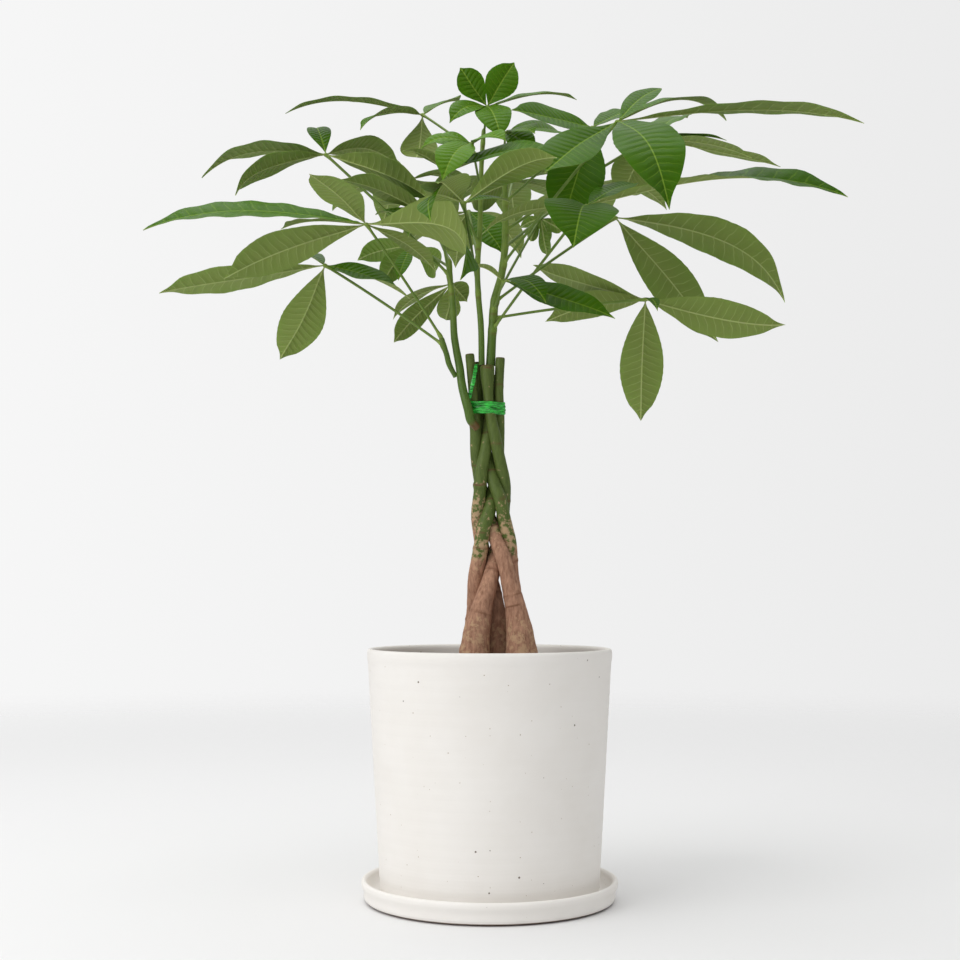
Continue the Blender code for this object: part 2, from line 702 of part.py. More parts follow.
def build():
    """Make the whole part."""
    clear_scene()
    make_saucer()
    make_pot()
    lines, radii = make_trunks()
    make_soil(lines, radii)
    make_tie(lines, radii)
    make_shoots()
    for name, (shoot, height, hub, leaflets) in LEAVES.items():
        make_leaf(name, shoot, height, hub, leaflets)


build()
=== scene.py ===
# %% [markdown]
# # A potted money tree
#
# The real thing is a young braided tree: five trunks plaited together while soft, held by a
# green plastic tie, with palmate leaves on long stalks, planted in a thrown stoneware pot that
# stands in its own saucer. Nothing on it moves on a joint.
#
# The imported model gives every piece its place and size. This lesson dresses it: it replaces each
# plain solid with a fine surface, and gives each surface a finish made from nodes.

# %% Load the fixed frame
import math

import bpy
import numpy as np
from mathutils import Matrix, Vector, noise


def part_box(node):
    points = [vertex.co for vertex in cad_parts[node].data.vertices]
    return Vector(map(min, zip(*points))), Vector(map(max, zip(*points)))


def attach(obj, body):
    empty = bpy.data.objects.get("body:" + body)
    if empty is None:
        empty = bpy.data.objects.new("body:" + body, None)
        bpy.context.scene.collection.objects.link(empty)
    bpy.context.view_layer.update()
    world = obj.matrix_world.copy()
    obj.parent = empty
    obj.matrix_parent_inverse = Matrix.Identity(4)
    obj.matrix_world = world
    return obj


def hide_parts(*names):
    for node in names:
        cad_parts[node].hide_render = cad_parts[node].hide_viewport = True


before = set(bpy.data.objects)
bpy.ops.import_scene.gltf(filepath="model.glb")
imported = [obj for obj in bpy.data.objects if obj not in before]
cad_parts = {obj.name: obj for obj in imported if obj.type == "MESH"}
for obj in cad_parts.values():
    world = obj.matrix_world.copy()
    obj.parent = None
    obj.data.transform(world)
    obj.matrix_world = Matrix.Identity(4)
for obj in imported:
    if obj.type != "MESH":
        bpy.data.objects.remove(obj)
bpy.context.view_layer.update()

MM = 0.001

# %% [markdown]
# ## Two small helpers for finishes
#
# Colours are easiest to pick as sRGB hex values, the ones a colour picker shows, but shaders mix
# light, so they want linear values. One function turns the first into the second. A second
# function adds a node, sets its properties and fills or links its sockets: with it a material
# reads like a recipe, whichever nodes it uses.

# %% Hex colours and nodes
def linear(hex_colour):
    """An sRGB hex colour such as "d8d2c8" as linear red, green, blue and alpha."""
    shares = [int(hex_colour[start:start + 2], 16) / 255 for start in (0, 2, 4)]
    return (*[s / 12.92 if s <= 0.04045 else ((s + 0.055) / 1.055) ** 2.4 for s in shares], 1.0)


def add_node(tree, kind, sockets=None, **properties):
    """One new node. A socket is given a plain value, or the output that feeds it."""
    node = tree.nodes.new(kind)
    for name, value in properties.items():
        setattr(node, name, value)
    for name, value in (sockets or {}).items():
        if isinstance(value, bpy.types.NodeSocket):
            tree.links.new(value, node.inputs[name])
        else:
            node.inputs[name].default_value = value
    return node


def start_finish(name, **sockets):
    """A material with a Principled shader whose even values are set; gives all three."""
    material = bpy.data.materials.new(name)
    material.use_nodes = True
    shader = material.node_tree.nodes["Principled BSDF"]
    for socket, value in sockets.items():
        shader.inputs[socket.replace("_", " ")].default_value = value
    return material, material.node_tree, shader


print("linear d8d2c8 is", [round(v, 3) for v in linear("d8d2c8")])

# %% [markdown]
# ## The camera
#
# The tree is looked at from the front, from a little above the pot's rim, with a long lens that
# keeps the pot's sides straight. A lens of about 56 mm at 1.36 m frames the whole crown. The
# standard view is used, so that a white glaze shows as the white its hex value names.

# %% Camera
CAMERA_PLACE = (-0.0086, -1.36, 0.276)
CAMERA_PITCH = math.radians(90 + 4.125)
CAMERA_LENS = 56.26

camera_data = bpy.data.cameras.new("camera")
camera_data.lens = CAMERA_LENS
camera_data.sensor_width = 36.0
camera_data.clip_start = 0.05
camera = bpy.data.objects.new("camera", camera_data)
camera.location = CAMERA_PLACE
camera.rotation_euler = (CAMERA_PITCH, 0.0, 0.0)
bpy.context.scene.collection.objects.link(camera)
bpy.context.scene.camera = camera
bpy.context.scene.view_settings.view_transform = "Standard"
print("camera looks from", CAMERA_PLACE)

# %% [markdown]
# ## Studio floor and light
#
# The pot stands on seamless white paper in a bright room. A flat disc of floor that fades out at
# its edge does this without a horizon line: the paper wall shows past it. The room's own light
# comes mostly from above, as from a ceiling, with a large soft box to the left and in front and
# another overhead. So shadows stay pale and fall to the right, and leaves darken underneath.

# %% Floor
FLOOR_RADIUS = 3.2
FLOOR_FADE = (0.9, 2.9)

floor_finish, tree, shader = start_finish("seamless white paper", Roughness=0.9)
shader.inputs["Base Color"].default_value = linear("eaeaea")
where = add_node(tree, "ShaderNodeTexCoord")
away = add_node(tree, "ShaderNodeVectorMath", {0: where.outputs["Object"]}, operation="LENGTH")
fade = add_node(tree, "ShaderNodeMapRange", {
    "Value": away.outputs["Value"], "From Min": FLOOR_FADE[0], "From Max": FLOOR_FADE[1],
}, interpolation_type="SMOOTHSTEP")
clear = add_node(tree, "ShaderNodeBsdfTransparent")
blend = add_node(tree, "ShaderNodeMixShader", {
    0: fade.outputs["Result"], 1: shader.outputs["BSDF"], 2: clear.outputs["BSDF"],
})
tree.links.new(blend.outputs["Shader"], tree.nodes["Material Output"].inputs["Surface"])

bpy.ops.mesh.primitive_circle_add(vertices=96, radius=FLOOR_RADIUS, fill_type="NGON")
floor = bpy.context.object
floor.name = "studio_floor"
floor.location = (0.0, 0.0, -0.0004)
floor.data.materials.append(floor_finish)
print("floor is", 2 * FLOOR_RADIUS, "m across")

# %% Lights
# Brightness of the paper wall as the camera sees it: painted shade, lighter on the left and darker on
# the right, standing in for the key light's fall-off.
BACKDROP_PAINTED_FALLOFF = {"left": 0.93, "right": 0.83}
SKY = {"low": 0.18, "high": 1.02}
KEY_LIGHT = {"place": (-2.2, -1.7, 1.7), "aim": (0.0, 0.0, 0.35), "size": 2.2, "power": 40.0}
TOP_LIGHT = {"place": (-0.4, 0.2, 2.6), "aim": (0.0, 0.0, 0.5), "size": 1.8, "power": 14.0}

world = bpy.data.worlds.new("bright room")
world.use_nodes = True
room = world.node_tree
heading = add_node(room, "ShaderNodeSeparateXYZ", {
    "Vector": add_node(room, "ShaderNodeTexCoord").outputs["Generated"]})
# Painted fall-off of light across the backdrop, seen only by camera rays; the sky below lights the
# objects.
paper = add_node(room, "ShaderNodeMapRange", {
    "Value": heading.outputs["X"], "From Min": -0.34, "From Max": 0.34,
    "To Min": BACKDROP_PAINTED_FALLOFF["left"], "To Max": BACKDROP_PAINTED_FALLOFF["right"]})
sky = add_node(room, "ShaderNodeMapRange", {
    "Value": heading.outputs["Z"], "From Min": -0.2, "To Min": SKY["low"], "To Max": SKY["high"]})
seen = add_node(room, "ShaderNodeLightPath")
strength = add_node(room, "ShaderNodeMix", {
    0: seen.outputs["Is Camera Ray"], 2: sky.outputs["Result"], 3: paper.outputs["Result"]})
backdrop = room.nodes["Background"]
backdrop.inputs["Color"].default_value = linear("ffffff")
room.links.new(strength.outputs[0], backdrop.inputs["Strength"])
bpy.context.scene.world = world


def soft_light(name, place, aim, size, power):
    """A square soft box at a place, turned towards a point."""
    lamp_data = bpy.data.lights.new(name, "AREA")
    lamp_data.size = size
    lamp_data.energy = power
    lamp = bpy.data.objects.new(name, lamp_data)
    lamp.location = place
    lamp.rotation_euler = (Vector(aim) - Vector(place)).to_track_quat("-Z", "Y").to_euler()
    bpy.context.scene.collection.objects.link(lamp)
    return lamp


soft_light("key_light", **KEY_LIGHT)
soft_light("top_light", **TOP_LIGHT)
print("two soft boxes and the room")

# %% [markdown]
# ## Building surfaces from rings
#
# Almost every piece here is a skin over a row of rings: a pot turned on a wheel, a trunk, a leaf
# stalk, even a leaf blade, whose ring runs over the top face and back under it. So one recorder
# collects such skins. It keeps for each corner a pair of measured distances for patterns to
# follow, and a paint value that says how green, scarred or pale the surface is there.

# %% A recorder for skins
class Skins:
    """Corners, faces, finishes, measures and paint of one piece, gathered skin by skin."""

    def __init__(self):
        self.corners = []
        self.faces = []
        self.finishes = []
        self.measures = []
        self.paints = []

    def add(self, rings, finish=0, measure=None, paint=None, loop=False):
        """Add a skin over rings of corners: capped at both ends, or joined up as a loop."""
        rings = np.asarray(rings, dtype=float)
        count, sides, _ = rings.shape
        first = len(self.corners)
        self.corners.extend(rings.reshape(-1, 3).tolist())
        if measure is None:
            measure = np.zeros((count, sides, 2))
        if paint is None:
            paint = np.zeros((count, sides, 3))
        self.measures.extend(np.broadcast_to(measure, (count, sides, 2)).reshape(-1, 2).tolist())
        self.paints.extend(np.broadcast_to(paint, (count, sides, 3)).reshape(-1, 3).tolist())
        column_finish = np.broadcast_to(finish, (sides,)).tolist()
        for ring in range(count if loop else count - 1):
            low = first + ring * sides
            high = first + (ring + 1) % count * sides
            for side in range(sides):
                after = (side + 1) % sides
                self.faces.append((low + side, low + after, high + after, high + side))
                self.finishes.append(column_finish[side])
        if not loop:
            last = first + (count - 1) * sides
            self.faces.append(tuple(first + side for side in reversed(range(sides))))
            self.faces.append(tuple(last + side for side in range(sides)))
            self.finishes.extend((column_finish[0], column_finish[0]))

    def make(self, name, finishes, sharp=55.0):
        """Turn what was gathered into one smooth-shaded object."""
        mesh = bpy.data.meshes.new(name)
        mesh.from_pydata(self.corners, [], self.faces)
        for material in finishes:
            mesh.materials.append(material)
        mesh.polygons.foreach_set("material_index", self.finishes)
        mesh.shade_smooth()
        mesh.set_sharp_from_angle(angle=math.radians(sharp))
        loops = np.empty(len(mesh.loops), dtype=np.int32)
        mesh.loops.foreach_get("vertex_index", loops)
        sheet = mesh.uv_layers.new(name="measure")
        sheet.data.foreach_set("uv", np.array(self.measures)[loops].astype(np.float32).ravel())
        paint = mesh.color_attributes.new("growth", "FLOAT_COLOR", "POINT")
        full = np.ones((len(self.corners), 4), dtype=np.float32)
        full[:, :3] = self.paints
        paint.data.foreach_set("color", full.ravel())
        piece = bpy.data.objects.new(name, mesh)
        bpy.context.scene.collection.objects.link(piece)
        return piece


def dress(piece, node):
    """The piece rides on the tree's one body and stands for its plain solid, which is hidden."""
    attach(piece, "root")
    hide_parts(node)


def smooth_step(low, high, value):
    """Ease from 0 to 1 as the value goes from low to high."""
    share = np.clip((np.asarray(value, dtype=float) - low) / (high - low), 0.0, 1.0)
    return share * share * (3.0 - 2.0 * share)


print("skins can be recorded")

# %% [markdown]
# ## Stoneware clay
#
# The pot and saucer are wheel-thrown stoneware under a dry, off-white glaze. Stoneware clay
# holds specks of iron that bleed through such a glaze as dots of brown, most under a
# millimetre across, with a few larger ones. The glaze itself is almost matte, with faint clouds
# where it lies thicker. Cells of a Voronoi texture, each with its own chance of showing a dot,
# give the scatter; a plain noise threshold would give blotches instead. The eye gets a warm
# white that is not plastic.

# %% Matte stoneware glaze
SPECK_SPACING = {"large": 12.0, "small": 5.0}
SPECK_RADIUS = {"large": 0.95, "small": 0.55}
THROWING_RIDGE = 3.2
CLAY_GRAIN = 1.1


def stoneware(name, glaze, foot_height):
    """Matte speckled glaze over iron-bearing clay, bare below a height in millimetres."""
    material, tree, shader = start_finish(name, Roughness=0.62, IOR=1.5)
    shader.inputs["Specular IOR Level"].default_value = 0.35
    place = add_node(tree, "ShaderNodeTexCoord").outputs["Object"]
    clouds = add_node(tree, "ShaderNodeTexNoise", {
        "Vector": place, "Scale": 1 / (45 * MM), "Detail": 3.0, "Roughness": 0.55})
    body = add_node(tree, "ShaderNodeMix", {
        0: clouds.outputs["Fac"], 6: linear(glaze[0]), 7: linear(glaze[1])}, data_type="RGBA")
    colour = body.outputs[2]
    for size, tint, chance in (("small", "a8977f", 0.62), ("large", "5d4a3a", 0.52)):
        cells = add_node(tree, "ShaderNodeTexVoronoi", {
            "Vector": place, "Scale": 1 / (SPECK_SPACING[size] * MM), "Randomness": 1.0})
        share = add_node(tree, "ShaderNodeSeparateColor", {"Color": cells.outputs["Color"]})
        reach = add_node(tree, "ShaderNodeMapRange", {
            "Value": share.outputs["Red"], "From Min": chance, "From Max": 1.0,
            "To Min": 0.0, "To Max": SPECK_RADIUS[size] / SPECK_SPACING[size]})
        inside = add_node(tree, "ShaderNodeMath", {
            0: cells.outputs["Distance"], 1: reach.outputs["Result"]}, operation="SUBTRACT")
        dot = add_node(tree, "ShaderNodeMapRange", {
            "Value": inside.outputs["Value"], "From Min": -0.010, "From Max": 0.002,
            "To Min": 0.9, "To Max": 0.0})
        dotted = add_node(tree, "ShaderNodeMix", {
            0: dot.outputs["Result"], 6: colour, 7: linear(tint)}, data_type="RGBA")
        colour = dotted.outputs[2]
    height = add_node(tree, "ShaderNodeSeparateXYZ", {"Vector": place}).outputs["Z"]
    bare = add_node(tree, "ShaderNodeMapRange", {
        "Value": height, "From Min": (foot_height - 0.25) * MM, "From Max": (foot_height + 0.25) * MM,
        "To Min": 1.0, "To Max": 0.0})
    footed = add_node(tree, "ShaderNodeMix", {
        0: bare.outputs["Result"], 6: colour, 7: linear("6f5443")}, data_type="RGBA")
    tree.links.new(footed.outputs[2], shader.inputs["Base Color"])
    grain = add_node(tree, "ShaderNodeTexNoise", {
        "Vector": place, "Scale": 1 / (CLAY_GRAIN * MM), "Detail": 2.0})
    ridges = add_node(tree, "ShaderNodeTexWave", {
        "Vector": place, "Scale": 0.314 / (THROWING_RIDGE * MM), "Distortion": 1.6,
        "Detail": 1.0, "Detail Scale": 0.6}, wave_type="BANDS", bands_direction="Z")
    relief = add_node(tree, "ShaderNodeMath", {
        0: ridges.outputs["Fac"], 1: 0.35, 2: grain.outputs["Fac"]}, operation="MULTIPLY_ADD")
    bump = add_node(tree, "ShaderNodeBump", {
        "Height": relief.outputs["Value"], "Strength": 0.35, "Distance": 0.12 * MM})
    tree.links.new(bump.outputs["Normal"], shader.inputs["Normal"])
    sheen = add_node(tree, "ShaderNodeMapRange", {
        "Value": clouds.outputs["Fac"], "From Min": 0.3, "From Max": 0.7,
        "To Min": 0.52, "To Max": 0.70})
    tree.links.new(sheen.outputs["Result"], shader.inputs["Roughness"])
    return material


pot_glaze = stoneware("matte off-white stoneware glaze", ("f3f0ec", "eae6e0"), -5.0)
saucer_glaze = stoneware("matte off-white stoneware with bare foot", ("f3f0ec", "eae6e0"), 1.5)
print("two stoneware finishes")

# %% [markdown]
# ## Pot
#
# A potter pulls the wall up between two hands, so its radius wanders by a fraction of a
# millimetre and the lip is rounded with a wet cloth. The outline is drawn once as a short list
# of points, rounded by cutting its corners a few times, and turned round the axis. Turning
# keeps the pot exactly round, as the wheel did; sculpting would not.

# %% Pot outline
RIM_RADIUS = 0.110
FOOT_RADIUS = 0.097
WALL = 0.006
GAP = 0.0003
TURN_CORNERS = 160
pot_low, pot_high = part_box("pot")
saucer_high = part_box("saucer")[1]
RIM_HEIGHT = pot_high[2]
POT_FOOT = pot_low[2]
SAUCER_FLOOR = POT_FOOT - GAP


def split_long(points, longest):
    """Put extra points on the long runs, so that corners stay tight and walls can ripple."""
    full = []
    for here, there in zip(points, points[1:]):
        here, there = np.array(here), np.array(there)
        parts = max(1, math.ceil(np.linalg.norm(there - here) / longest))
        full += [tuple(here + (there - here) * part / parts) for part in range(parts)]
    return full + [tuple(points[-1])]


def round_outline(points, turns, keep=0.25):
    """Cut the corners of an open outline again and again until it is smooth; its ends stay."""
    for _ in range(turns):
        cut = [points[0]]
        for here, there in zip(points, points[1:]):
            here, there = np.array(here), np.array(there)
            cut.append(tuple(here + (there - here) * keep))
            cut.append(tuple(there + (here - there) * keep))
        points = cut + [points[-1]]
    return points


def turn(name, outline, wander, finish, loop):
    """Turn a (radius, height) outline round the Z axis. A looped outline makes a ring of clay."""
    rings = []
    for radius, height in outline:
        ring = []
        for angle in np.linspace(0.0, 2 * math.pi, TURN_CORNERS, endpoint=False):
            ripple = wander * math.sin(height / (THROWING_RIDGE * MM) * 2 + 0.7 * math.sin(angle))
            ripple += wander * noise.noise((3 * math.cos(angle), 3 * math.sin(angle), 40 * height))
            reach = radius + ripple * (radius > 0.03)
            ring.append((reach * math.cos(angle), reach * math.sin(angle), height))
        rings.append(ring)
    skins = Skins()
    skins.add(rings, loop=loop)
    return skins.make(name, [finish], sharp=50.0)


lip = RIM_HEIGHT
inner_foot = FOOT_RADIUS - WALL
floor_top = POT_FOOT + 0.007
pot_outline = [
    (FOOT_RADIUS - 0.0008, POT_FOOT), (FOOT_RADIUS + 0.0006, POT_FOOT + 0.004),
    (RIM_RADIUS - 0.0008, lip - 0.013), (RIM_RADIUS, lip - 0.008),
    (RIM_RADIUS + 0.0002, lip - 0.001), (RIM_RADIUS - 0.0025, lip + 0.0006),
    (RIM_RADIUS - 0.0055, lip - 0.001), (RIM_RADIUS - WALL, lip - 0.012),
    (inner_foot, floor_top + 0.006), (inner_foot - 0.006, floor_top),
    (0.010, floor_top), (0.010, POT_FOOT + 0.002),
    (FOOT_RADIUS - 0.011, POT_FOOT + 0.002), (FOOT_RADIUS - 0.009, POT_FOOT),
    (FOOT_RADIUS - 0.004, POT_FOOT),
]
pot_outline = round_outline(split_long(pot_outline, 0.010), 2)
pot = turn("pot_thrown", pot_outline, 0.00009, pot_glaze, loop=True)
dress(pot, "pot")
print("pot outline has", len(pot_outline), "points")

# %% [markdown]
# ## Saucer
#
# The saucer is thrown the same way: a low dish with a rounded rim and a narrower foot. Its foot
# is wiped bare of glaze so that it does not stick to the kiln shelf, which leaves the thin brown
# line where it meets the table.

# %% Saucer
SAUCER_RADIUS = 0.114
SAUCER_FOOT = 0.108
rim_top = saucer_high[2]
saucer_outline = [
    (0.0005, 0.0), (SAUCER_FOOT - 0.001, 0.0), (SAUCER_FOOT + 0.0012, 0.0008),
    (SAUCER_FOOT + 0.0037, 0.0030), (SAUCER_RADIUS - 0.0022, rim_top - 0.0095),
    (SAUCER_RADIUS + 0.0002, rim_top - 0.0045), (SAUCER_RADIUS, rim_top - 0.0010),
    (SAUCER_RADIUS - 0.0022, rim_top + 0.0006), (SAUCER_RADIUS - 0.0048, rim_top - 0.0012),
    (SAUCER_RADIUS - 0.0055, rim_top - 0.0050), (SAUCER_RADIUS - 0.0095, SAUCER_FLOOR + 0.0012),
    (SAUCER_RADIUS - 0.0140, SAUCER_FLOOR), (0.0005, SAUCER_FLOOR),
]
saucer_outline = round_outline(split_long(saucer_outline, 0.008), 2)
saucer = turn("saucer_thrown", saucer_outline, 0.00007, saucer_glaze, loop=False)
dress(saucer, "saucer")
print("saucer stands", round(rim_top / MM, 1), "mm high")

# %% [markdown]
# ## Potting soil
#
# Potting mix is crumbs of dark peat and composted bark, with a few white grains of perlite. A
# smooth brown disc would read as paint. So the surface is lumpy at two sizes, and loose crumbs,
# each a small dented lump, are scattered over it and half sunk, seeded so that they fall the
# same way every time.

# %% Peat and bark potting mix
SOIL_HEIGHT = 0.202
SOIL_CRUMB = 3.0

potting_mix, tree, shader = start_finish("peat and bark potting mix", Roughness=0.95, IOR=1.4)
shader.inputs["Specular IOR Level"].default_value = 0.15
place = add_node(tree, "ShaderNodeTexCoord").outputs["Object"]
paint = add_node(tree, "ShaderNodeSeparateColor", {
    "Color": add_node(tree, "ShaderNodeAttribute", attribute_name="growth").outputs["Color"]})
crumbs = add_node(tree, "ShaderNodeTexNoise", {
    "Vector": place, "Scale": 1 / (SOIL_CRUMB * MM), "Detail": 5.0, "Roughness": 0.7})
earth = add_node(tree, "ShaderNodeMix", {
    0: crumbs.outputs["Fac"], 6: linear("23180f"), 7: linear("5b4431")}, data_type="RGBA")
chips = add_node(tree, "ShaderNodeMix", {
    0: paint.outputs["Red"], 6: earth.outputs[2], 7: linear("7a573b")}, data_type="RGBA")
grains = add_node(tree, "ShaderNodeMix", {
    0: paint.outputs["Green"], 6: chips.outputs[2], 7: linear("d9d4c8")}, data_type="RGBA")
tree.links.new(grains.outputs[2], shader.inputs["Base Color"])
bump = add_node(tree, "ShaderNodeBump", {
    "Height": crumbs.outputs["Fac"], "Strength": 0.8, "Distance": 1.2 * MM})
tree.links.new(bump.outputs["Normal"], shader.inputs["Normal"])

# %% Soil surface and crumbs
CRUMB_COUNT = 340
SOIL_RINGS = 46
SOIL_CORNERS = 132
soil_edge = RIM_RADIUS - WALL - 0.0022
soil_base = SOIL_HEIGHT - 0.012


def soil_height(x, y):
    """Height of the soil at a place: clods, and a low mound round the trunks."""
    mound = 0.0018 * math.exp(-((x - 0.008) ** 2 + y ** 2) / 0.045 ** 2)
    clods = 0.0022 * noise.noise(Vector((x, y, 0.0)) / (17 * MM))
    clods += 0.0011 * noise.noise(Vector((x, y, 0.31)) / (5.5 * MM))
    return SOIL_HEIGHT + mound + clods


rings = []
for radius in (0.0005, soil_edge - 0.001):
    rings.append([(radius * math.cos(a), radius * math.sin(a), soil_base)
                  for a in np.linspace(0, 2 * math.pi, SOIL_CORNERS, endpoint=False)])
for share in np.linspace(1.0, 0.012, SOIL_RINGS):
    ring = []
    for angle in np.linspace(0, 2 * math.pi, SOIL_CORNERS, endpoint=False):
        x, y = soil_edge * share * math.cos(angle), soil_edge * share * math.sin(angle)
        ring.append((x, y, soil_height(x, y)))
    rings.append(ring)
soil_skins = Skins()
soil_skins.add(rings, paint=(0.0, 0.0, 0.0))

luck = np.random.default_rng(12)
for crumb in range(CRUMB_COUNT):
    spread, angle = math.sqrt(luck.random()) * (soil_edge - 0.004), luck.random() * 2 * math.pi
    x, y = spread * math.cos(angle), spread * math.sin(angle)
    size = luck.uniform(0.9, 2.6) * MM
    kind = luck.random()
    paint = (1.0, 0.0, 0.0) if kind < 0.22 else (0.0, 1.0, 0.0) if kind > 0.955 else (0.0, 0.0, 0.0)
    long_way = np.array((luck.uniform(1.0, 1.9), luck.uniform(0.7, 1.1), 0.6 + 0.3 * luck.random()))
    rings = []
    for latitude in np.linspace(-0.46, 0.46, 6) * math.pi:
        ring = []
        for longitude in np.linspace(0, 2 * math.pi, 8, endpoint=False):
            out = np.array((math.cos(latitude) * math.cos(longitude),
                            math.cos(latitude) * math.sin(longitude), math.sin(latitude)))
            dent = 1.0 + 0.35 * noise.noise(Vector(out * 1.3) + Vector((crumb, 0.0, 0.0)))
            grain = out * long_way * size * dent
            across = (grain[0] * math.cos(kind * 9) - grain[1] * math.sin(kind * 9),
                      grain[0] * math.sin(kind * 9) + grain[1] * math.cos(kind * 9))
            ring.append((x + across[0], y + across[1],
                         soil_height(x, y) + grain[2] + size * 0.25))
        rings.append(ring)
    soil_skins.add(rings, paint=paint)
soil = soil_skins.make("soil_surface", [potting_mix], sharp=80.0)
dress(soil, "soil")
print("soil with", CRUMB_COUNT, "crumbs")

# %% [markdown]
# ## The plait
#
# Each trunk winds through the others on the same figure, x = sin t and y = sin 2t, a fifth of a
# turn behind its neighbour: that is a flat five-strand plait, crossing at the front and again at
# the back. Below, the trunks spread to their own places in the soil; above, the tie gathers
# them. Neighbours are then eased apart until they just touch, as growing wood does. The model's
# own solids were made by the same rule, so the fine trunks lie exactly where they are.

# %% Trunk tables, mm: foot place, foot radius, place at the tie, place of the cut top, top
# height, top radius
TRUNKS = (
    ((-15, -13), 13.5, (-3, -6), (-2, -4), 478, 6.5),
    ((34, 16), 12.0, (-9, 6), (-11, 6), 483, 4.0),
    ((30, -14), 14.0, (-14, -3), (-18, -3), 489, 4.2),
    ((8, 12), 11.0, (1, 8), (4, 9), 471, 4.4),
    ((-15, 16), 11.5, (6, -1), (10, -1), 486, 4.3),
)
TRUNK_FOOT = 0.172
TRUNK_LEVELS = 73
TRUNK_CLEARANCE = 0.0009
BRAID_ANCHOR = 0.299
BRAID_RATE = math.radians(1.32)
PLAIT_STEP = math.radians(72)
BRAID_HEIGHTS = (0.220, 0.290, 0.330, 0.365, 0.410)
BRAID_CENTRES = (0.0085, 0.0045, 0.0030, 0.0020, -0.0015)
BRAID_HALF_WIDTHS = (0.0150, 0.0130, 0.0100, 0.0095, 0.0075)
BRAID_HALF_DEPTHS = (0.0150, 0.0135, 0.0115, 0.0110, 0.0095)
SLIM_SHARES = ((0.172, 1.05), (0.220, 1.0), (0.262, 0.68), (0.300, 0.50), (0.320, 0.45),
               (0.345, 0.41), (0.409, 0.36), (0.434, 0.335))


def braid_guide():
    """Centre points of the trunks at every level, before they are eased apart."""
    guide = []
    for index, (foot, foot_radius, tied, top, top_height, top_radius) in enumerate(TRUNKS):
        height = np.linspace(TRUNK_FOOT, top_height * MM, TRUNK_LEVELS)
        angle = (height - BRAID_ANCHOR) / MM * BRAID_RATE + index * PLAIT_STEP
        line = np.zeros((TRUNK_LEVELS, 3))
        line[:, 0] = np.interp(height, BRAID_HEIGHTS, BRAID_CENTRES)
        line[:, 0] += np.interp(height, BRAID_HEIGHTS, BRAID_HALF_WIDTHS) * np.sin(angle)
        line[:, 1] = np.interp(height, BRAID_HEIGHTS, BRAID_HALF_DEPTHS) * np.sin(2 * angle)
        line[:, 2] = height
        shares = ((foot, 1.0 - smooth_step(0.225, 0.290, height)),
                  (tied, smooth_step(0.415, 0.438, height)),
                  (top, smooth_step(0.445, 0.478, height)))
        for place_mm, share in shares:
            line[:, :2] += (np.array(place_mm) * MM - line[:, :2]) * share[:, None]
        guide.append(line)
    return np.array(guide)


def trunk_radius(index, height):
    """Radius of one trunk: thick at the soil, slim in the plait, a little swollen at its top."""
    foot_radius, top_height, top_radius = (TRUNKS[index][column] * MM for column in (1, 4, 5))
    heights, shares = zip(*SLIM_SHARES)
    slim = 0.0125 * np.interp(height, heights, shares)
    slim = slim + (foot_radius - 0.0125) * (1.0 - smooth_step(0.22, 0.30, height))
    return slim + (top_radius - slim) * smooth_step(0.445, top_height - 0.004, height)


def ease_apart(guide, radii):
    """Push the centre lines apart until neighbours clear each other, keeping them smooth."""
    lines = guide.copy()
    rows = np.arange(TRUNK_LEVELS)
    pairs = [(a, b) for a in range(len(lines)) for b in range(a + 1, len(lines))]
    for pass_number in range(240):
        for a, b in pairs:
            apart = lines[a][:, None, :] - lines[b][None, :, :]
            wanted = radii[a][:, None] + radii[b][None, :] + TRUNK_CLEARANCE
            short = np.maximum(wanted - np.linalg.norm(apart, axis=2), 0.0)
            flat = apart[:, :, :2]
            reach = np.maximum(np.linalg.norm(flat, axis=2), 0.0005)
            push = flat / reach[:, :, None] * short[:, :, None] * 0.5
            lines[a][:, :2] += push[rows, np.argmax(short, axis=1)]
            lines[b][:, :2] -= push[np.argmax(short, axis=0), rows]
        if pass_number < 200:
            middle = (lines[:, :-2, :2] + lines[:, 2:, :2]) / 2
            lines[:, 1:-1, :2] += (middle - lines[:, 1:-1, :2]) * 0.25
    return lines


guide = braid_guide()
trunk_radii = np.array([trunk_radius(i, line[:, 2]) for i, line in enumerate(guide)])
trunk_lines = ease_apart(guide, trunk_radii)
print("plait is", round(float(np.ptp(trunk_lines[:, 40, 0])) / MM, 1), "mm wide at mid height")

# %% [markdown]
# ## Tubes that follow a line
#
# Trunks, shoots and leaf stalks are all tubes round a line, with a radius that changes along
# them and a surface that is never quite round. Carrying the ring's own side direction from ring
# to ring, instead of working it out afresh, keeps the skin from twisting.

# %% Tubes
def carried_frames(path):
    """Two directions across a path at each of its points, carried along without twist."""
    along = np.gradient(path, axis=0)
    along /= np.linalg.norm(along, axis=1)[:, None]
    start = np.array((1.0, 0.0, 0.0)) if abs(along[0][2]) > 0.5 else np.array((0.0, 0.0, 1.0))
    sides = []
    for direction in along:
        start = start - direction * float(np.dot(start, direction))
        start = start / np.linalg.norm(start)
        sides.append(start)
    sides = np.array(sides)
    return sides, np.cross(along, sides)


def smooth_path(points, count):
    """A smooth curve through points, read at evenly spread places."""
    points = np.asarray(points, dtype=float)
    spans = np.linalg.norm(np.diff(points, axis=0), axis=1)
    reach = np.concatenate(([0.0], np.cumsum(spans)))
    slopes = np.gradient(points, reach, axis=0)
    curve = []
    for place in np.linspace(0.0, reach[-1], count):
        span = min(int(np.searchsorted(reach, place, side="right")) - 1, len(spans) - 1)
        width = reach[span + 1] - reach[span]
        t = (place - reach[span]) / width
        curve.append((2 * t**3 - 3 * t**2 + 1) * points[span]
                     + (t**3 - 2 * t**2 + t) * width * slopes[span]
                     + (-2 * t**3 + 3 * t**2) * points[span + 1]
                     + (t**3 - t**2) * width * slopes[span + 1])
    return np.array(curve)


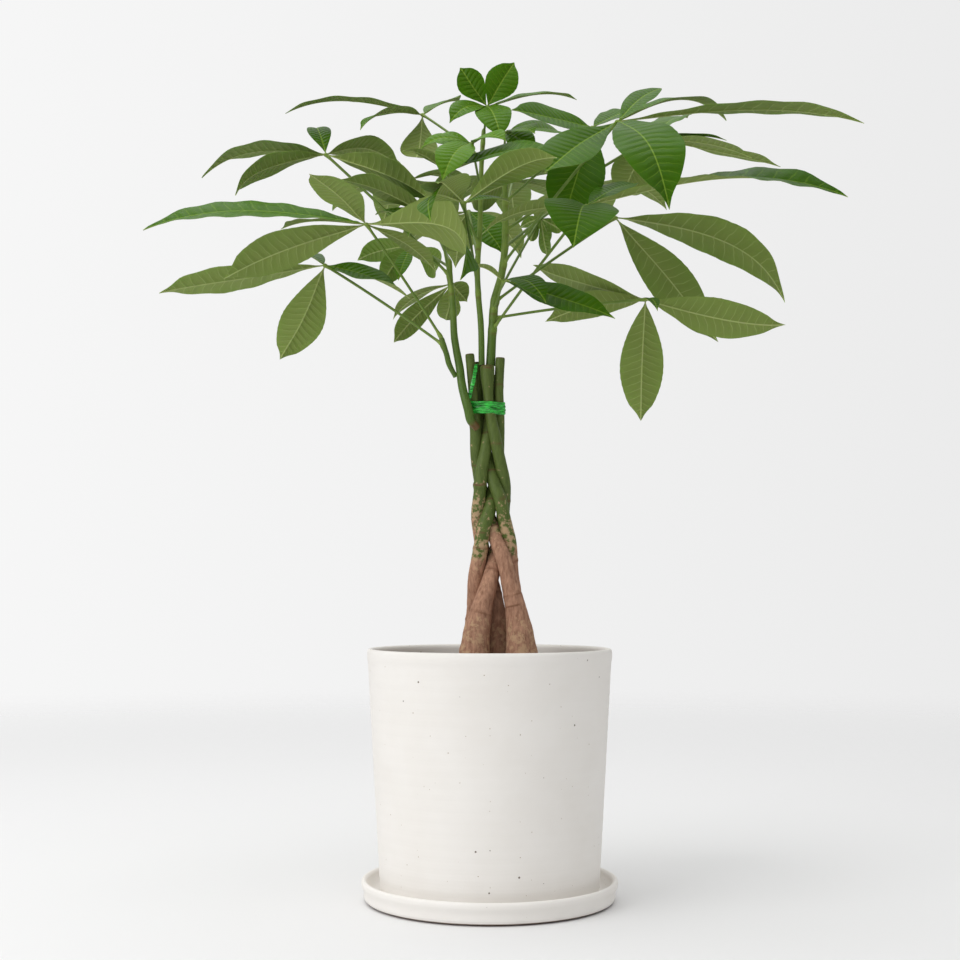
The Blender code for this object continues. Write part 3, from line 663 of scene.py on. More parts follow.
def tube_rings(path, radii):
    """Rings round a path; radii are given for each ring, or for each ring and corner."""
    radii = np.asarray(radii, dtype=float)
    count, corners = radii.shape
    across, up = carried_frames(path)
    angles = np.linspace(0.0, 2 * math.pi, corners, endpoint=False)
    offsets = (across[:, None, :] * np.cos(angles)[None, :, None]
               + up[:, None, :] * np.sin(angles)[None, :, None])
    return path[:, None, :] + offsets * radii[:, :, None]


def ripples(rings, scale, seed):
    """Smooth noise from -1 to 1 at every corner, with bumps of about the given size."""
    flat = rings.reshape(-1, 3) / scale + seed
    return np.array([noise.noise(Vector(corner)) for corner in flat]).reshape(rings.shape[:2])


print("tubes can follow lines")

# %% [markdown]
# ## Bark, from brown foot to green stem
#
# The trunks are still young. At the soil their skin has turned to dry brown cork with paler
# flakes; higher up it is smooth and green, and between the two it is patchy, tan over green,
# with pale cracks along the grain. Rings mark where earlier leaves and side shoots were cut.
# The paint on each trunk says how green, scarred and pale it is, and noise breaks up the edges,
# so the change looks grown and not sprayed.

# %% Young bark
BARK_GRAIN = 0.9
BARK_CRACK = 2.6
BARK_PATCH = 9.0

bark, tree, shader = start_finish("young bark, brown cork to green skin", Roughness=0.7, IOR=1.45)
shader.inputs["Specular IOR Level"].default_value = 0.3
place = add_node(tree, "ShaderNodeTexCoord").outputs["Object"]
paint = add_node(tree, "ShaderNodeSeparateColor", {
    "Color": add_node(tree, "ShaderNodeAttribute", attribute_name="growth").outputs["Color"]})
stretch = add_node(tree, "ShaderNodeVectorMath", {
    0: place, 1: (1.0, 1.0, 0.28)}, operation="MULTIPLY")
patches = add_node(tree, "ShaderNodeTexNoise", {
    "Vector": place, "Scale": 1 / (BARK_PATCH * MM), "Detail": 4.0, "Roughness": 0.6})
cracks = add_node(tree, "ShaderNodeTexNoise", {
    "Vector": stretch.outputs["Vector"], "Scale": 1 / (BARK_CRACK * MM), "Detail": 5.0,
    "Roughness": 0.65})
grain = add_node(tree, "ShaderNodeTexNoise", {
    "Vector": place, "Scale": 1 / (BARK_GRAIN * MM), "Detail": 3.0})
weathered = add_node(tree, "ShaderNodeMapRange", {
    "Value": cracks.outputs["Fac"], "From Min": 0.16, "From Max": 0.80})
cork = add_node(tree, "ShaderNodeMix", {
    0: weathered.outputs["Result"], 6: linear("6a4533"), 7: linear("d0a286")}, data_type="RGBA")
green = add_node(tree, "ShaderNodeMix", {
    0: cracks.outputs["Fac"], 6: linear("36491a"), 7: linear("6c7d3c")}, data_type="RGBA")
edge = add_node(tree, "ShaderNodeMath", {
    0: patches.outputs["Fac"], 1: 1.5, 2: -0.75}, operation="MULTIPLY_ADD")
greenness = add_node(tree, "ShaderNodeMath", {
    0: paint.outputs["Red"], 1: edge.outputs["Value"]}, operation="ADD")
grown = add_node(tree, "ShaderNodeMapRange", {
    "Value": greenness.outputs["Value"], "From Min": 0.40, "From Max": 0.62},
    interpolation_type="SMOOTHSTEP")
skin = add_node(tree, "ShaderNodeMix", {
    0: grown.outputs["Result"], 6: cork.outputs[2], 7: green.outputs[2]}, data_type="RGBA")
flake_place = add_node(tree, "ShaderNodeVectorMath", {
    0: place, 1: (0.37, 0.11, 0.53)}, operation="ADD")
flakes = add_node(tree, "ShaderNodeTexNoise", {
    "Vector": flake_place.outputs["Vector"], "Scale": 1 / (5.5 * MM), "Detail": 4.0,
    "Roughness": 0.62})
pale = add_node(tree, "ShaderNodeMath", {
    0: paint.outputs["Blue"], 1: 0.42, 2: flakes.outputs["Fac"]}, operation="MULTIPLY_ADD")
flaking = add_node(tree, "ShaderNodeMapRange", {
    "Value": pale.outputs["Value"], "From Min": 0.65, "From Max": 0.75, "To Max": 0.8})
flaked = add_node(tree, "ShaderNodeMix", {
    0: flaking.outputs["Result"], 6: skin.outputs[2], 7: linear("c6a482")}, data_type="RGBA")
scarred = add_node(tree, "ShaderNodeMix", {
    0: paint.outputs["Green"], 6: flaked.outputs[2], 7: linear("6a432f")}, data_type="RGBA")
tree.links.new(scarred.outputs[2], shader.inputs["Base Color"])
relief = add_node(tree, "ShaderNodeMath", {
    0: cracks.outputs["Fac"], 1: 0.8, 2: grain.outputs["Fac"]}, operation="MULTIPLY_ADD")
depth = add_node(tree, "ShaderNodeMapRange", {
    "Value": grown.outputs["Result"], "To Min": 0.8, "To Max": 0.28})
bump = add_node(tree, "ShaderNodeBump", {
    "Height": relief.outputs["Value"], "Strength": depth.outputs["Result"],
    "Distance": 0.45 * MM})
tree.links.new(bump.outputs["Normal"], shader.inputs["Normal"])
dryness = add_node(tree, "ShaderNodeMapRange", {
    "Value": grown.outputs["Result"], "To Min": 0.85, "To Max": 0.5})
tree.links.new(dryness.outputs["Result"], shader.inputs["Roughness"])
print("bark has", len(tree.nodes), "nodes")

# %% [markdown]
# ## Trunks
#
# Each trunk is a fine tube over its eased line. Rings swell where leaves were lost, the foot is
# lumpy, and the sawn top is flat with a small soft edge. The table says where each trunk turns
# green, and where its scars are: a height, which way the scar faces in degrees from +X, how far
# round it goes, and how proud it stands.

# %% Trunk growth
TRUNK_GREEN = (0.304, 0.312, 0.326, 0.332, 0.300)
TRUNK_SCARS = (
    ((0.2525, -90, 180, 0.25), (0.2900, -90, 180, 0.30), (0.3560, -60, 70, 0.55),
     (0.4060, -90, 180, 0.20), (0.4745, -90, 50, 0.60)),
    ((0.2650, -30, 180, 0.30), (0.3010, -20, 60, 0.60), (0.3800, -90, 180, 0.45),
     (0.3560, -50, 60, 0.35), (0.4310, -90, 180, 0.20)),
    ((0.2600, -110, 60, 0.55), (0.2690, -90, 180, 0.35), (0.3290, -95, 100, 0.60),
     (0.3880, 90, 180, 0.30), (0.4225, -120, 60, 0.80)),
    ((0.2700, 90, 180, 0.30), (0.3100, 60, 90, 0.40), (0.3690, -115, 95, 1.30),
     (0.4150, -90, 180, 0.25)),
    ((0.2480, 180, 180, 0.30), (0.3120, -110, 180, 0.50), (0.3250, -120, 60, 0.40),
     (0.3530, -90, 60, 0.40), (0.4600, -90, 180, 0.20)),
)
TRUNK_RINGS = 236
TRUNK_CORNERS = 28
SCAR_WIDTH = 1.5
ALL_ROUND = 180
PLAIT_FULLNESS = 0.80 * MM


def trunk_skin(index):
    """One trunk with its scars, lumps and sawn top, painted with how it has grown."""
    path = smooth_path(trunk_lines[index], TRUNK_RINGS)
    height = path[:, 2]
    fuller = PLAIT_FULLNESS * smooth_step(0.28, 0.31, height) * smooth_step(0.46, 0.43, height)
    plain = np.repeat((trunk_radius(index, height) + fuller)[:, None], TRUNK_CORNERS, axis=1)
    rings = tube_rings(path, plain)
    facing = np.arctan2(rings[:, :, 1] - path[:, None, 1], rings[:, :, 0] - path[:, None, 0])
    lumpy = 1.0 - smooth_step(0.23, 0.33, height)
    swell = ripples(rings, 14 * MM, index * 7.1) * (0.12 + 0.65 * lumpy[:, None]) * MM
    swell += ripples(rings, 3.4 * MM, index * 3.3) * (0.07 + 0.16 * lumpy[:, None]) * MM
    scar = np.zeros_like(plain)
    for scar_height, heading, round_it, proud in TRUNK_SCARS[index]:
        tilt = scar_height + 0.6 * MM * np.sin(facing * 2 + index)
        reach = SCAR_WIDTH * (0.8 + proud) * MM
        near = np.exp(-((height[:, None] - tilt) / reach) ** 2)
        turned_away = np.abs((np.degrees(facing) - heading + 180) % 360 - 180)
        faced = 1.0 - smooth_step(round_it * 0.55, round_it * 1.05, turned_away)
        if round_it == ALL_ROUND:
            faced = np.ones_like(turned_away)
        swell += near * faced * proud * MM
        edge_on = np.exp(-((height[:, None] - tilt - 0.9 * MM) / (0.8 * MM)) ** 2)
        scar = np.maximum(scar, edge_on * faced * min(1.0, 0.35 + proud))
    top = TRUNKS[index][4] * MM
    rounded = smooth_step(top, top - 1.2 * MM, height)
    radii = (plain + swell) * (0.90 + 0.10 * rounded[:, None])
    rings = tube_rings(path, radii)
    green = smooth_step(TRUNK_GREEN[index] - 0.022, TRUNK_GREEN[index] + 0.026, height)
    pale = np.exp(-((height - TRUNK_GREEN[index] - 0.012) / 0.024) ** 2) * 0.50
    pale += 0.42 * (1.0 - smooth_step(0.235, 0.262, height))
    sawn = smooth_step(top - 1.0 * MM, top - 0.2 * MM, height)
    paint = np.stack([np.repeat(green[:, None], TRUNK_CORNERS, axis=1),
                      np.maximum(scar * 0.9, sawn[:, None] * 0.75),
                      np.repeat(pale[:, None], TRUNK_CORNERS, axis=1)], axis=2)
    skins = Skins()
    skins.add(rings, paint=paint)
    return skins.make(f"trunk_{index + 1}_bark", [bark])


for index in range(len(TRUNKS)):
    trunk = trunk_skin(index)
    dress(trunk, f"trunk_{index + 1}")
print(len(TRUNKS), "trunks")

# %% [markdown]
# ## Plant tie
#
# The trunks are held by shiny green plastic ribbon, wound round a few times, pulled tight so
# that it bunches into glossy strands, and left with a short twisted end. Each turn is a thin
# strand that follows the tightest loop round all five trunks, found by asking which trunk
# reaches furthest in each direction. A smooth collar would not look pulled.

# %% Glossy green polythene ribbon
# Pulled tight, the ribbon creases along its windings, so the crease pattern is drawn out level
CREASE_WIDTH = 2.2
CREASE_STRETCH = (0.35, 0.35, 1.8)

ribbon, tree, shader = start_finish("glossy green polythene ribbon", Roughness=0.13, IOR=1.5)
place = add_node(tree, "ShaderNodeTexCoord").outputs["Object"]
pulled = add_node(tree, "ShaderNodeVectorMath", {
    0: place, 1: CREASE_STRETCH}, operation="MULTIPLY")
creases = add_node(tree, "ShaderNodeTexNoise", {
    "Vector": pulled.outputs["Vector"], "Scale": 1 / (CREASE_WIDTH * MM), "Detail": 2.0,
    "Roughness": 0.5})
# The ribbon is one plain green plastic. Its colour here swings from near-black green to bright green
# over the creases: painted shade in the folds and painted glints on the ridges.
painted_crease_glint_and_shade = add_node(tree, "ShaderNodeMapRange", {
    "Value": creases.outputs["Fac"], "From Min": 0.28, "From Max": 0.68})
sheen = add_node(tree, "ShaderNodeMix", {
    0: painted_crease_glint_and_shade.outputs["Result"], 6: linear("013c07"), 7: linear("42dc50")}, data_type="RGBA")
tree.links.new(sheen.outputs[2], shader.inputs["Base Color"])
bump = add_node(tree, "ShaderNodeBump", {
    "Height": creases.outputs["Fac"], "Strength": 1.0, "Distance": 0.6 * MM})
tree.links.new(bump.outputs["Normal"], shader.inputs["Normal"])

# %% Tie strands
TIE_HEIGHT = 0.4395
TIE_TURNS = 5
TIE_STRAND = 0.00125
TIE_STEP = 0.0021


def loop_round_trunks(angle, height, gap):
    """Where a pulled loop lies in one direction: outside the trunk that reaches furthest."""
    aim = np.array((math.cos(angle), math.sin(angle)))
    best = None
    for index, line in enumerate(trunk_lines):
        centre = [np.interp(height, line[:, 2], line[:, axis]) for axis in (0, 1)]
        size = float(trunk_radius(index, height))
        reach = float(np.dot(centre, aim)) + size
        if best is None or reach > best[0]:
            best = (reach, centre, size)
    _, centre, size = best
    return (centre[0] + (size + gap) * aim[0], centre[1] + (size + gap) * aim[1], height)


tie_skins = Skins()
up = np.array((0.0, 0.0, 1.0))
steps = 64
for lap in range(TIE_TURNS):
    path = []
    for step in range(steps):
        angle = 2 * math.pi * step / steps
        wave = math.sin(angle * 2 + lap * 1.7) * 0.55 * MM + math.sin(angle * 5 + lap) * 0.15 * MM
        height = TIE_HEIGHT + (lap - (TIE_TURNS - 1) / 2) * TIE_STEP + wave
        gap = (1.05 + 0.35 * math.sin(lap * 2.4 + angle)) * MM
        path.append(loop_round_trunks(angle, height, gap))
    path = np.array(path)
    path += (np.roll(path, 1, axis=0) + np.roll(path, -1, axis=0) - 2 * path) * 0.35
    out = path - path.mean(axis=0)
    out[:, 2] = 0.0
    out /= np.linalg.norm(out, axis=1)[:, None]
    rings = []
    for step in range(steps):
        flat = TIE_STRAND * (0.55 + 0.12 * math.sin(step * 0.9 + lap))
        tall = TIE_STRAND * (1.15 + 0.20 * math.sin(step * 0.6 + 2 * lap))
        rings.append([path[step] + out[step] * flat * math.cos(a) - up * tall * math.sin(a)
                      for a in np.linspace(0, 2 * math.pi, 10, endpoint=False)])
    tie_skins.add(rings, loop=True)

tail_foot = loop_round_trunks(math.radians(-128), TIE_HEIGHT + 0.0005, 1.6 * MM)
tail = np.array([(0.0, 0.0, -0.004), (-0.0012, -0.0018, 0.003), (-0.0006, -0.0022, 0.010),
                 (0.0020, -0.0024, 0.020), (0.0040, -0.0022, 0.030), (0.0052, -0.0018, 0.0385)])
tail = smooth_path(tail + tail_foot, 44)
rings = []
for step, point in enumerate(tail):
    turned = math.radians(28 * math.sin(step * 0.20) + 8)
    across = np.array((math.cos(turned), math.sin(turned) * 0.6, 0.12))
    through = np.array((-math.sin(turned), math.cos(turned), 0.0))
    wide = (1.85 + 0.30 * math.sin(step * 0.55)) * MM
    rings.append([point + across * wide * math.cos(a) + through * 0.35 * MM * math.sin(a)
                  for a in np.linspace(0, 2 * math.pi, 10, endpoint=False)])
tie_skins.add(rings)
tie = tie_skins.make("tie_ribbon", [ribbon])
dress(tie, "plant_tie")
print("tie of", TIE_TURNS, "turns")

# %% [markdown]
# ## Green shoots
#
# From the cut trunks grow this year's shoots: round, bright green and soft, as thick as a
# pencil, and jointed. At each joint a leaf stalk leaves through a small swelling with a scar of
# the bud scales under it. The shoots are tubes through the same few points as their solids; the
# joints are placed where the leaves below need them, so both tables come first.

# %% Shoot table, mm: points up the shoot, radius at its foot, radius at its tip
SHOOTS = {
    "shoot_left": (((-17, -13, 427), (-19, -15, 436), (-22, -14, 447), (-25, -9, 460),
                    (-27, -5, 476), (-30, -4, 492), (-32, -3, 505), (-33, -2, 523),
                    (-34, 0, 540), (-36, 1, 558), (-37, 2, 578)), 4.2, 2.4),
    "spur_left": (((-37, -8, 480), (-39, -9, 488), (-42, -10, 497), (-44, -10, 504)), 2.6, 2.4),
    "shoot_middle": (((-7, -2, 479), (-8, -3, 519), (-10, -3, 542), (-11, -3, 567), (-9, -2, 600),
                      (-8, -1, 633), (-7, 0, 670), (-5, 0, 700)), 2.9, 2.0),
    "shoot_right": (((1, 2, 479), (3, 2, 516), (5, 3, 540), (11, 6, 563), (14, 8, 586),
                     (15, 10, 619), (14, 12, 660), (11, 12, 688)), 4.3, 2.2),
}

# %% [markdown]
# ## Leaf table
#
# A money tree's leaf is palmate: a long stalk ends in a small knob, and from it four to seven
# leaflets spread like fingers. Every leaf is written as one row. A leaflet is its reach from
# knob to tip, how far its midrib bows off the straight line, its width, how far it rolls to show
# its face to the front, and any further twist towards its tip.

# %% Leaf table, mm and degrees: shoot, height on it, place of the knob, leaflets
LEAVES = {
    "leaf_left_middle": ("spur_left", 506, (-110, -40, 600), (
        ((-195, -20, -10), 15, 42, 34, 0),
        ((-130, 20, -45), 10, 42, -45, 0),
        ((-90, 100, 20), 6, 30, 14, 0),
        ((-40, -100, 18), 2, 38, -10, 0),
        ((85, -95, -70), 38, 64, -42, 0),
        ((60, 45, -32), 6, 28, -5, 0))),
    "leaf_left_low": ("spur_left", 496, (-153, 20, 576), (
        ((-150, -20, -30), 3, 38, -30, 0),
        ((-40, -10, -90), 8, 42, -88, 0),
        ((80, -20, -35), 8, 44, 60, -70),
        ((-45, 90, 25), 8, 30, 0, 0))),
    "leaf_left_high": ("shoot_left", 562, (-154, 30, 684), (
        ((-115, -10, -25), 17, 46, -12, 20),
        ((-75, -60, -55), 14, 36, -30, 0),
        ((-16, 50, 40), 8, 24, 30, 0),
        ((68, 42, 0), 16, 34, -30, 0),
        ((100, -75, -62), 6, 46, -35, 0))),
    "leaf_left_top": ("shoot_middle", 672, (-64, 60, 732), (
        ((-130, -20, -5), 13, 38, 6, 10),
        ((-55, -65, -35), 10, 30, -10, 0),
        ((-4, -42, -54), 8, 38, -75, 0),
        ((35, 80, 40), 4, 34, -15, 0))),
    "leaf_centre_left": ("shoot_left", 549, (-45, -30, 604), (
        ((-90, -5, 38), 6, 44, -10, 0),
        ((-60, 30, 15), 6, 28, 25, 0),
        ((-60, 70, 32), 8, 30, 10, 0),
        ((-28, -4, -14), 8, 24, 30, 0))),
    "leaf_centre_front": ("shoot_middle", 545, (-22, -115, 600), (
        ((75, -65, 20), 10, 38, -25, 0),
        ((-20, -80, -5), 6, 44, -35, 0),
        ((40, 55, 15), 4, 18, 30, 0),
        ((-25, -75, -35), 18, 30, -45, 0))),
    "leaf_centre": ("shoot_middle", 590, (-38, -50, 645), (
        ((100, -35, 5), 10, 42, 35, 0),
        ((-38, -24, 12), 5, 28, 10, 0),
        ((0, 48, -14), 5, 24, 10, 0))),
    "leaf_right_front": ("shoot_right", 574, (111, -80, 681), (
        ((35, -75, -97), 24, 60, 55, 0),
        ((-66, -60, -62), 2, 48, 50, 0),
        ((50, 90, 60), 4, 24, 40, 0),
        ((105, 60, 20), 19, 34, 15, 0),
        ((220, 20, 5), 12, 38, 0, 0))),
    "leaf_right_top": ("shoot_right", 633, (94, -15, 696), (
        ((-75, -45, 2), 1, 42, 50, 0),
        ((-25, 5, -88), 12, 56, 50, 0),
        ((45, 80, 40), 4, 30, 30, 0))),
    "leaf_right_back": ("shoot_right", 606, (156, 50, 706), (
        ((70, -10, -5), 4, 18, 10, 0),
        ((90, -30, -28), 5, 28, -5, 0),
        ((125, 10, -25), 2, 30, 0, 0),
        ((-30, -20, -60), 6, 42, -75, 0),
        ((50, 110, 55), 6, 38, 0, 0))),
    "leaf_right_long": ("shoot_right", 512, (83, -85, 605), (
        ((230, 15, 12), 23, 58, -15, 62),
        ((-15, -60, -50), 16, 66, 60, 0),
        ((-90, -65, -40), 10, 30, -20, 0),
        ((55, 95, 45), 4, 30, 25, 0))),
    "leaf_right_middle": ("shoot_right", 538, (120, 40, 626), (
        ((155, -20, -85), 60, 44, -45, 0),
        ((96, 0, -119), 8, 44, -80, 0),
        ((-50, 70, 10), 6, 30, -10, 0))),
    "leaf_right_low": ("shoot_right", 523, (142, -10, 538), (
        ((125, -10, -25), -18, 38, -60, 0),
        ((-4, 10, -110), 6, 42, -88, 0),
        ((-90, 30, -15), 8, 30, -50, 0),
        ((-100, 60, 45), -6, 32, -40, 0),
        ((5, -50, -20), 6, 12, 0, 0))),
    "leaf_low_front": ("shoot_right", 530, (12, -55, 546), (
        ((95, -35, -40), 4, 34, 50, 0),
        ((35, -55, -30), 10, 26, 40, 0),
        ((-35, -12, 5), 8, 26, 10, 0))),
    "leaf_young_hanging": ("shoot_right", 540, (50, 70, 633), (
        ((5, -20, -40), 4, 12, -60, 0),
        ((10, 20, -20), 4, 12, -60, 0),
        ((-10, -10, -25), 4, 12, -60, 0),
        ((-20, 20, -5), 4, 12, -60, 0),
        ((20, -10, -15), 4, 14, -60, 0))),
    "leaf_back_left": ("shoot_left", 570, (-77, 110, 615), (
        ((-25, -20, -40), 8, 26, -60, 0),
        ((-10, -50, -45), 6, 16, 40, 0),
        ((25, -40, -35), 8, 30, -60, 0),
        ((-55, 20, -10), 10, 28, -50, 0),
        ((-15, 60, 5), 6, 34, 0, 0))),
    "leaf_low_back": ("shoot_left", 527, (-36, 75, 570), (
        ((-55, -15, -60), 8, 24, -60, 0),
        ((-60, 55, -25), 8, 22, 0, 0),
        ((-5, -25, -40), 6, 24, -70, 0),
        ((15, 15, -15), 6, 24, -70, 0))),
    "leaf_crown": ("shoot_middle", 686, (-2, -10, 717), (
        ((-25, -5, 35), 2, 27, 85, 0),
        ((25, -5, 40), 2, 32, 85, 0),
        ((12, -44, -44), 10, 34, 62, 0),
        ((-34, -28, -24), 8, 28, 45, 0),
        ((85, 40, 20), 8, 26, 20, 0))),
    "leaf_young_bright": ("shoot_middle", 640, (-16, -45, 672), (
        ((-25, -50, -48), 12, 34, 50, 0),
        ((30, -35, -8), 6, 26, 45, 0),
        ((-45, -10, -8), 8, 18, 40, 0),
        ((-35, 15, 6), 4, 22, 50, 0))),
    "leaf_right_bright": ("shoot_right", 672, (15, -12, 692), (
        ((25, -50, -16), 4, 26, 50, 0),
        ((55, 40, 10), 6, 36, 40, 0),
        ((25, -20, -25), 6, 26, 70, 0))),
    "leaf_rear_left": ("shoot_left", 576, (-80, 155, 695), (
        ((-85, 50, -20), 14, 42, 0, 0),
        ((-35, 100, -25), 16, 44, 0, 0),
        ((40, 95, -30), 16, 42, 0, 0),
        ((60, 10, -5), 10, 34, 0, 0),
        ((-50, -50, 5), 8, 30, 0, 0))),
    "leaf_rear_middle": ("shoot_right", 620, (25, 165, 695), (
        ((-60, 75, -5), 14, 40, 0, 0),
        ((5, 120, -25), 20, 44, 0, 0),
        ((75, 85, -20), 16, 42, 0, 0),
        ((60, -30, -5), 8, 34, 0, 0),
        ((-42, -45, -34), 8, 38, -60, 0))),
    "leaf_rear_right": ("shoot_right", 590, (100, 135, 682), (
        ((90, 75, -5), 16, 42, 0, 0),
        ((25, 110, -15), 18, 44, 0, 0),
        ((-50, 60, -25), 10, 38, 0, 0),
        ((-25, -65, -10), 6, 30, 0, 0))),
    "leaf_rear_low": ("shoot_middle", 575, (-20, 130, 655), (
        ((-70, 70, -25), 12, 40, 0, 0),
        ((-15, 105, -35), 16, 42, 0, 0),
        ((55, 80, -30), 14, 38, 0, 0),
        ((-24, -44, -46), 8, 36, -70, 0),
        ((34, -38, -52), 8, 36, 60, 0))),
}
print(len(LEAVES), "leaves with", sum(len(row[3]) for row in LEAVES.values()), "leaflets")

# %% [markdown]
# ## Green stem skin
#
# Shoots and leaf stalks share one skin: smooth, slightly waxy, a yellow green that is deeper on
# old wood and brighter at the joints, with faint streaks along it. The streaks come from noise
# that is stretched along the height.

# %% Waxy green stem
STEM_STREAK = 1.1

stem_skin, tree, shader = start_finish("waxy green stem", Roughness=0.45, IOR=1.45)
shader.inputs["Specular IOR Level"].default_value = 0.4
place = add_node(tree, "ShaderNodeTexCoord").outputs["Object"]
paint = add_node(tree, "ShaderNodeSeparateColor", {
    "Color": add_node(tree, "ShaderNodeAttribute", attribute_name="growth").outputs["Color"]})
squeezed = add_node(tree, "ShaderNodeVectorMath", {
    0: place, 1: (1.0, 1.0, 0.12)}, operation="MULTIPLY")
streaks = add_node(tree, "ShaderNodeTexNoise", {
    "Vector": squeezed.outputs["Vector"], "Scale": 1 / (STEM_STREAK * MM), "Detail": 3.0})
mottle = add_node(tree, "ShaderNodeTexNoise", {
    "Vector": place, "Scale": 1 / (7 * MM), "Detail": 3.0})
old = add_node(tree, "ShaderNodeMix", {
    0: streaks.outputs["Fac"], 6: linear("2e4a12"), 7: linear("557628")}, data_type="RGBA")
young = add_node(tree, "ShaderNodeMix", {
    0: mottle.outputs["Fac"], 6: linear("65852c"), 7: linear("9aae52")}, data_type="RGBA")
skin = add_node(tree, "ShaderNodeMix", {
    0: paint.outputs["Red"], 6: old.outputs[2], 7: young.outputs[2]}, data_type="RGBA")
scarred = add_node(tree, "ShaderNodeMix", {
    0: paint.outputs["Green"], 6: skin.outputs[2], 7: linear("6d4f2f")}, data_type="RGBA")
tree.links.new(scarred.outputs[2], shader.inputs["Base Color"])
bump = add_node(tree, "ShaderNodeBump", {
    "Height": streaks.outputs["Fac"], "Strength": 0.35, "Distance": 0.25 * MM})
tree.links.new(bump.outputs["Normal"], shader.inputs["Normal"])

# %% Shoots with their joints
SHOOT_CORNERS = 20
JOINT_SWELL = 0.85


def shoot_at(name, height):
    """Centre and radius of a shoot at a height in mm, in metres."""
    points, foot_radius, tip_radius = SHOOTS[name]
    heights = [point[2] for point in points]
    centre = [float(np.interp(height, heights, [point[axis] for point in points]))
              for axis in (0, 1)]
    share = min(max((height - heights[0]) / (heights[-1] - heights[0]), 0.0), 1.0)
    radius = foot_radius + (tip_radius - foot_radius) * share
    return np.array((*centre, height)) * MM, radius * MM


def shoot_joints(name):
    """Height and heading of every leaf stalk on a shoot."""
    joints = []
    for shoot, height, knob, _ in LEAVES.values():
        if shoot == name:
            centre, _ = shoot_at(name, height)
            out = np.array(knob) * MM - centre
            joints.append((height * MM, math.atan2(out[1], out[0])))
    return joints


def shoot_skin(name):
    """One shoot: a tube with swollen joints, each with a scar under it."""
    points, foot_radius, tip_radius = SHOOTS[name]
    line = np.array(points, dtype=float) * MM
    lead_in = {"shoot_left": (0.0055, 0.0050, -0.006), "spur_left": (0.0062, 0.0040, -0.012)}
    if name in lead_in:
        line = np.vstack([line[0] + np.array(lead_in[name]), line])
    count = max(24, int(np.ptp(line[:, 2]) / (1.6 * MM)))
    path = smooth_path(line, count)
    height = path[:, 2]
    radius = np.array([shoot_at(name, z / MM)[1] for z in height])
    if name in lead_in:
        radius *= 0.86 + 0.14 * smooth_step(height[0], height[0] + 0.014, height)
    plain = np.repeat(radius[:, None], SHOOT_CORNERS, axis=1)
    rings = tube_rings(path, plain)
    facing = np.arctan2(rings[:, :, 1] - path[:, None, 1], rings[:, :, 0] - path[:, None, 0])
    swell = ripples(rings, 9 * MM, len(name)) * 0.10 * MM
    scar = np.zeros_like(plain)
    bright = np.zeros_like(plain)
    for joint, heading in shoot_joints(name):
        apart = np.abs((facing - heading + math.pi) % (2 * math.pi) - math.pi)
        faced = 0.25 + 0.75 * np.exp(-(apart / 0.9) ** 2)
        near = np.exp(-((height[:, None] - joint) / (3.2 * MM)) ** 2)
        swell += near * faced * JOINT_SWELL * MM
        bright = np.maximum(bright, near * faced)
        under = np.exp(-((height[:, None] - joint + 4.2 * MM) / (0.8 * MM)) ** 2)
        scar = np.maximum(scar, under * np.exp(-(apart / 1.2) ** 2) * 0.8)
    tip = smooth_step(height[-1], height[-1] - 2.2 * MM, height)
    rings = tube_rings(path, (plain + swell) * (0.35 + 0.65 * tip[:, None]))
    youth = 0.10 + 0.75 * smooth_step(0.47, 0.62, height)[:, None] + 0.5 * bright
    paint = np.stack([np.clip(youth, 0, 1), scar, np.zeros_like(scar)], axis=2)
    if name == "shoot_left":
        paint[:, :, 1] = np.maximum(paint[:, :, 1], 0.9 * smooth_step(0.4275, 0.4235, height)[:, None])
    skins = Skins()
    skins.add(rings, paint=paint)
    piece = skins.make(f"{name}_green", [stem_skin])
    dress(piece, name)
    return piece


for shoot_name in SHOOTS:
    shoot_skin(shoot_name)
print(len(SHOOTS), "shoots")

# %% [markdown]
# ## Leaf skins
#
# A leaf has two faces. The upper one is deep green with a thin shine, its veins pressed in. The
# lower one is pale, dull and greyish, because it has no wax, and its midrib and side veins stand
# out in yellow green. Light also soaks into so thin a blade and comes out on the far side, which
# subsurface scattering gives. Each corner of a blade carries a measure: how many side veins in
# from the base it lies, and how far from the midrib. The veins are drawn from that, so they fan
# forward and follow every bend.

# %% Waxy upper skin and matte lower skin
MIDRIB_WIDTH = 0.9
VEIN_SHARE = 0.075
VEIN_COLOUR_SHARE = 0.38


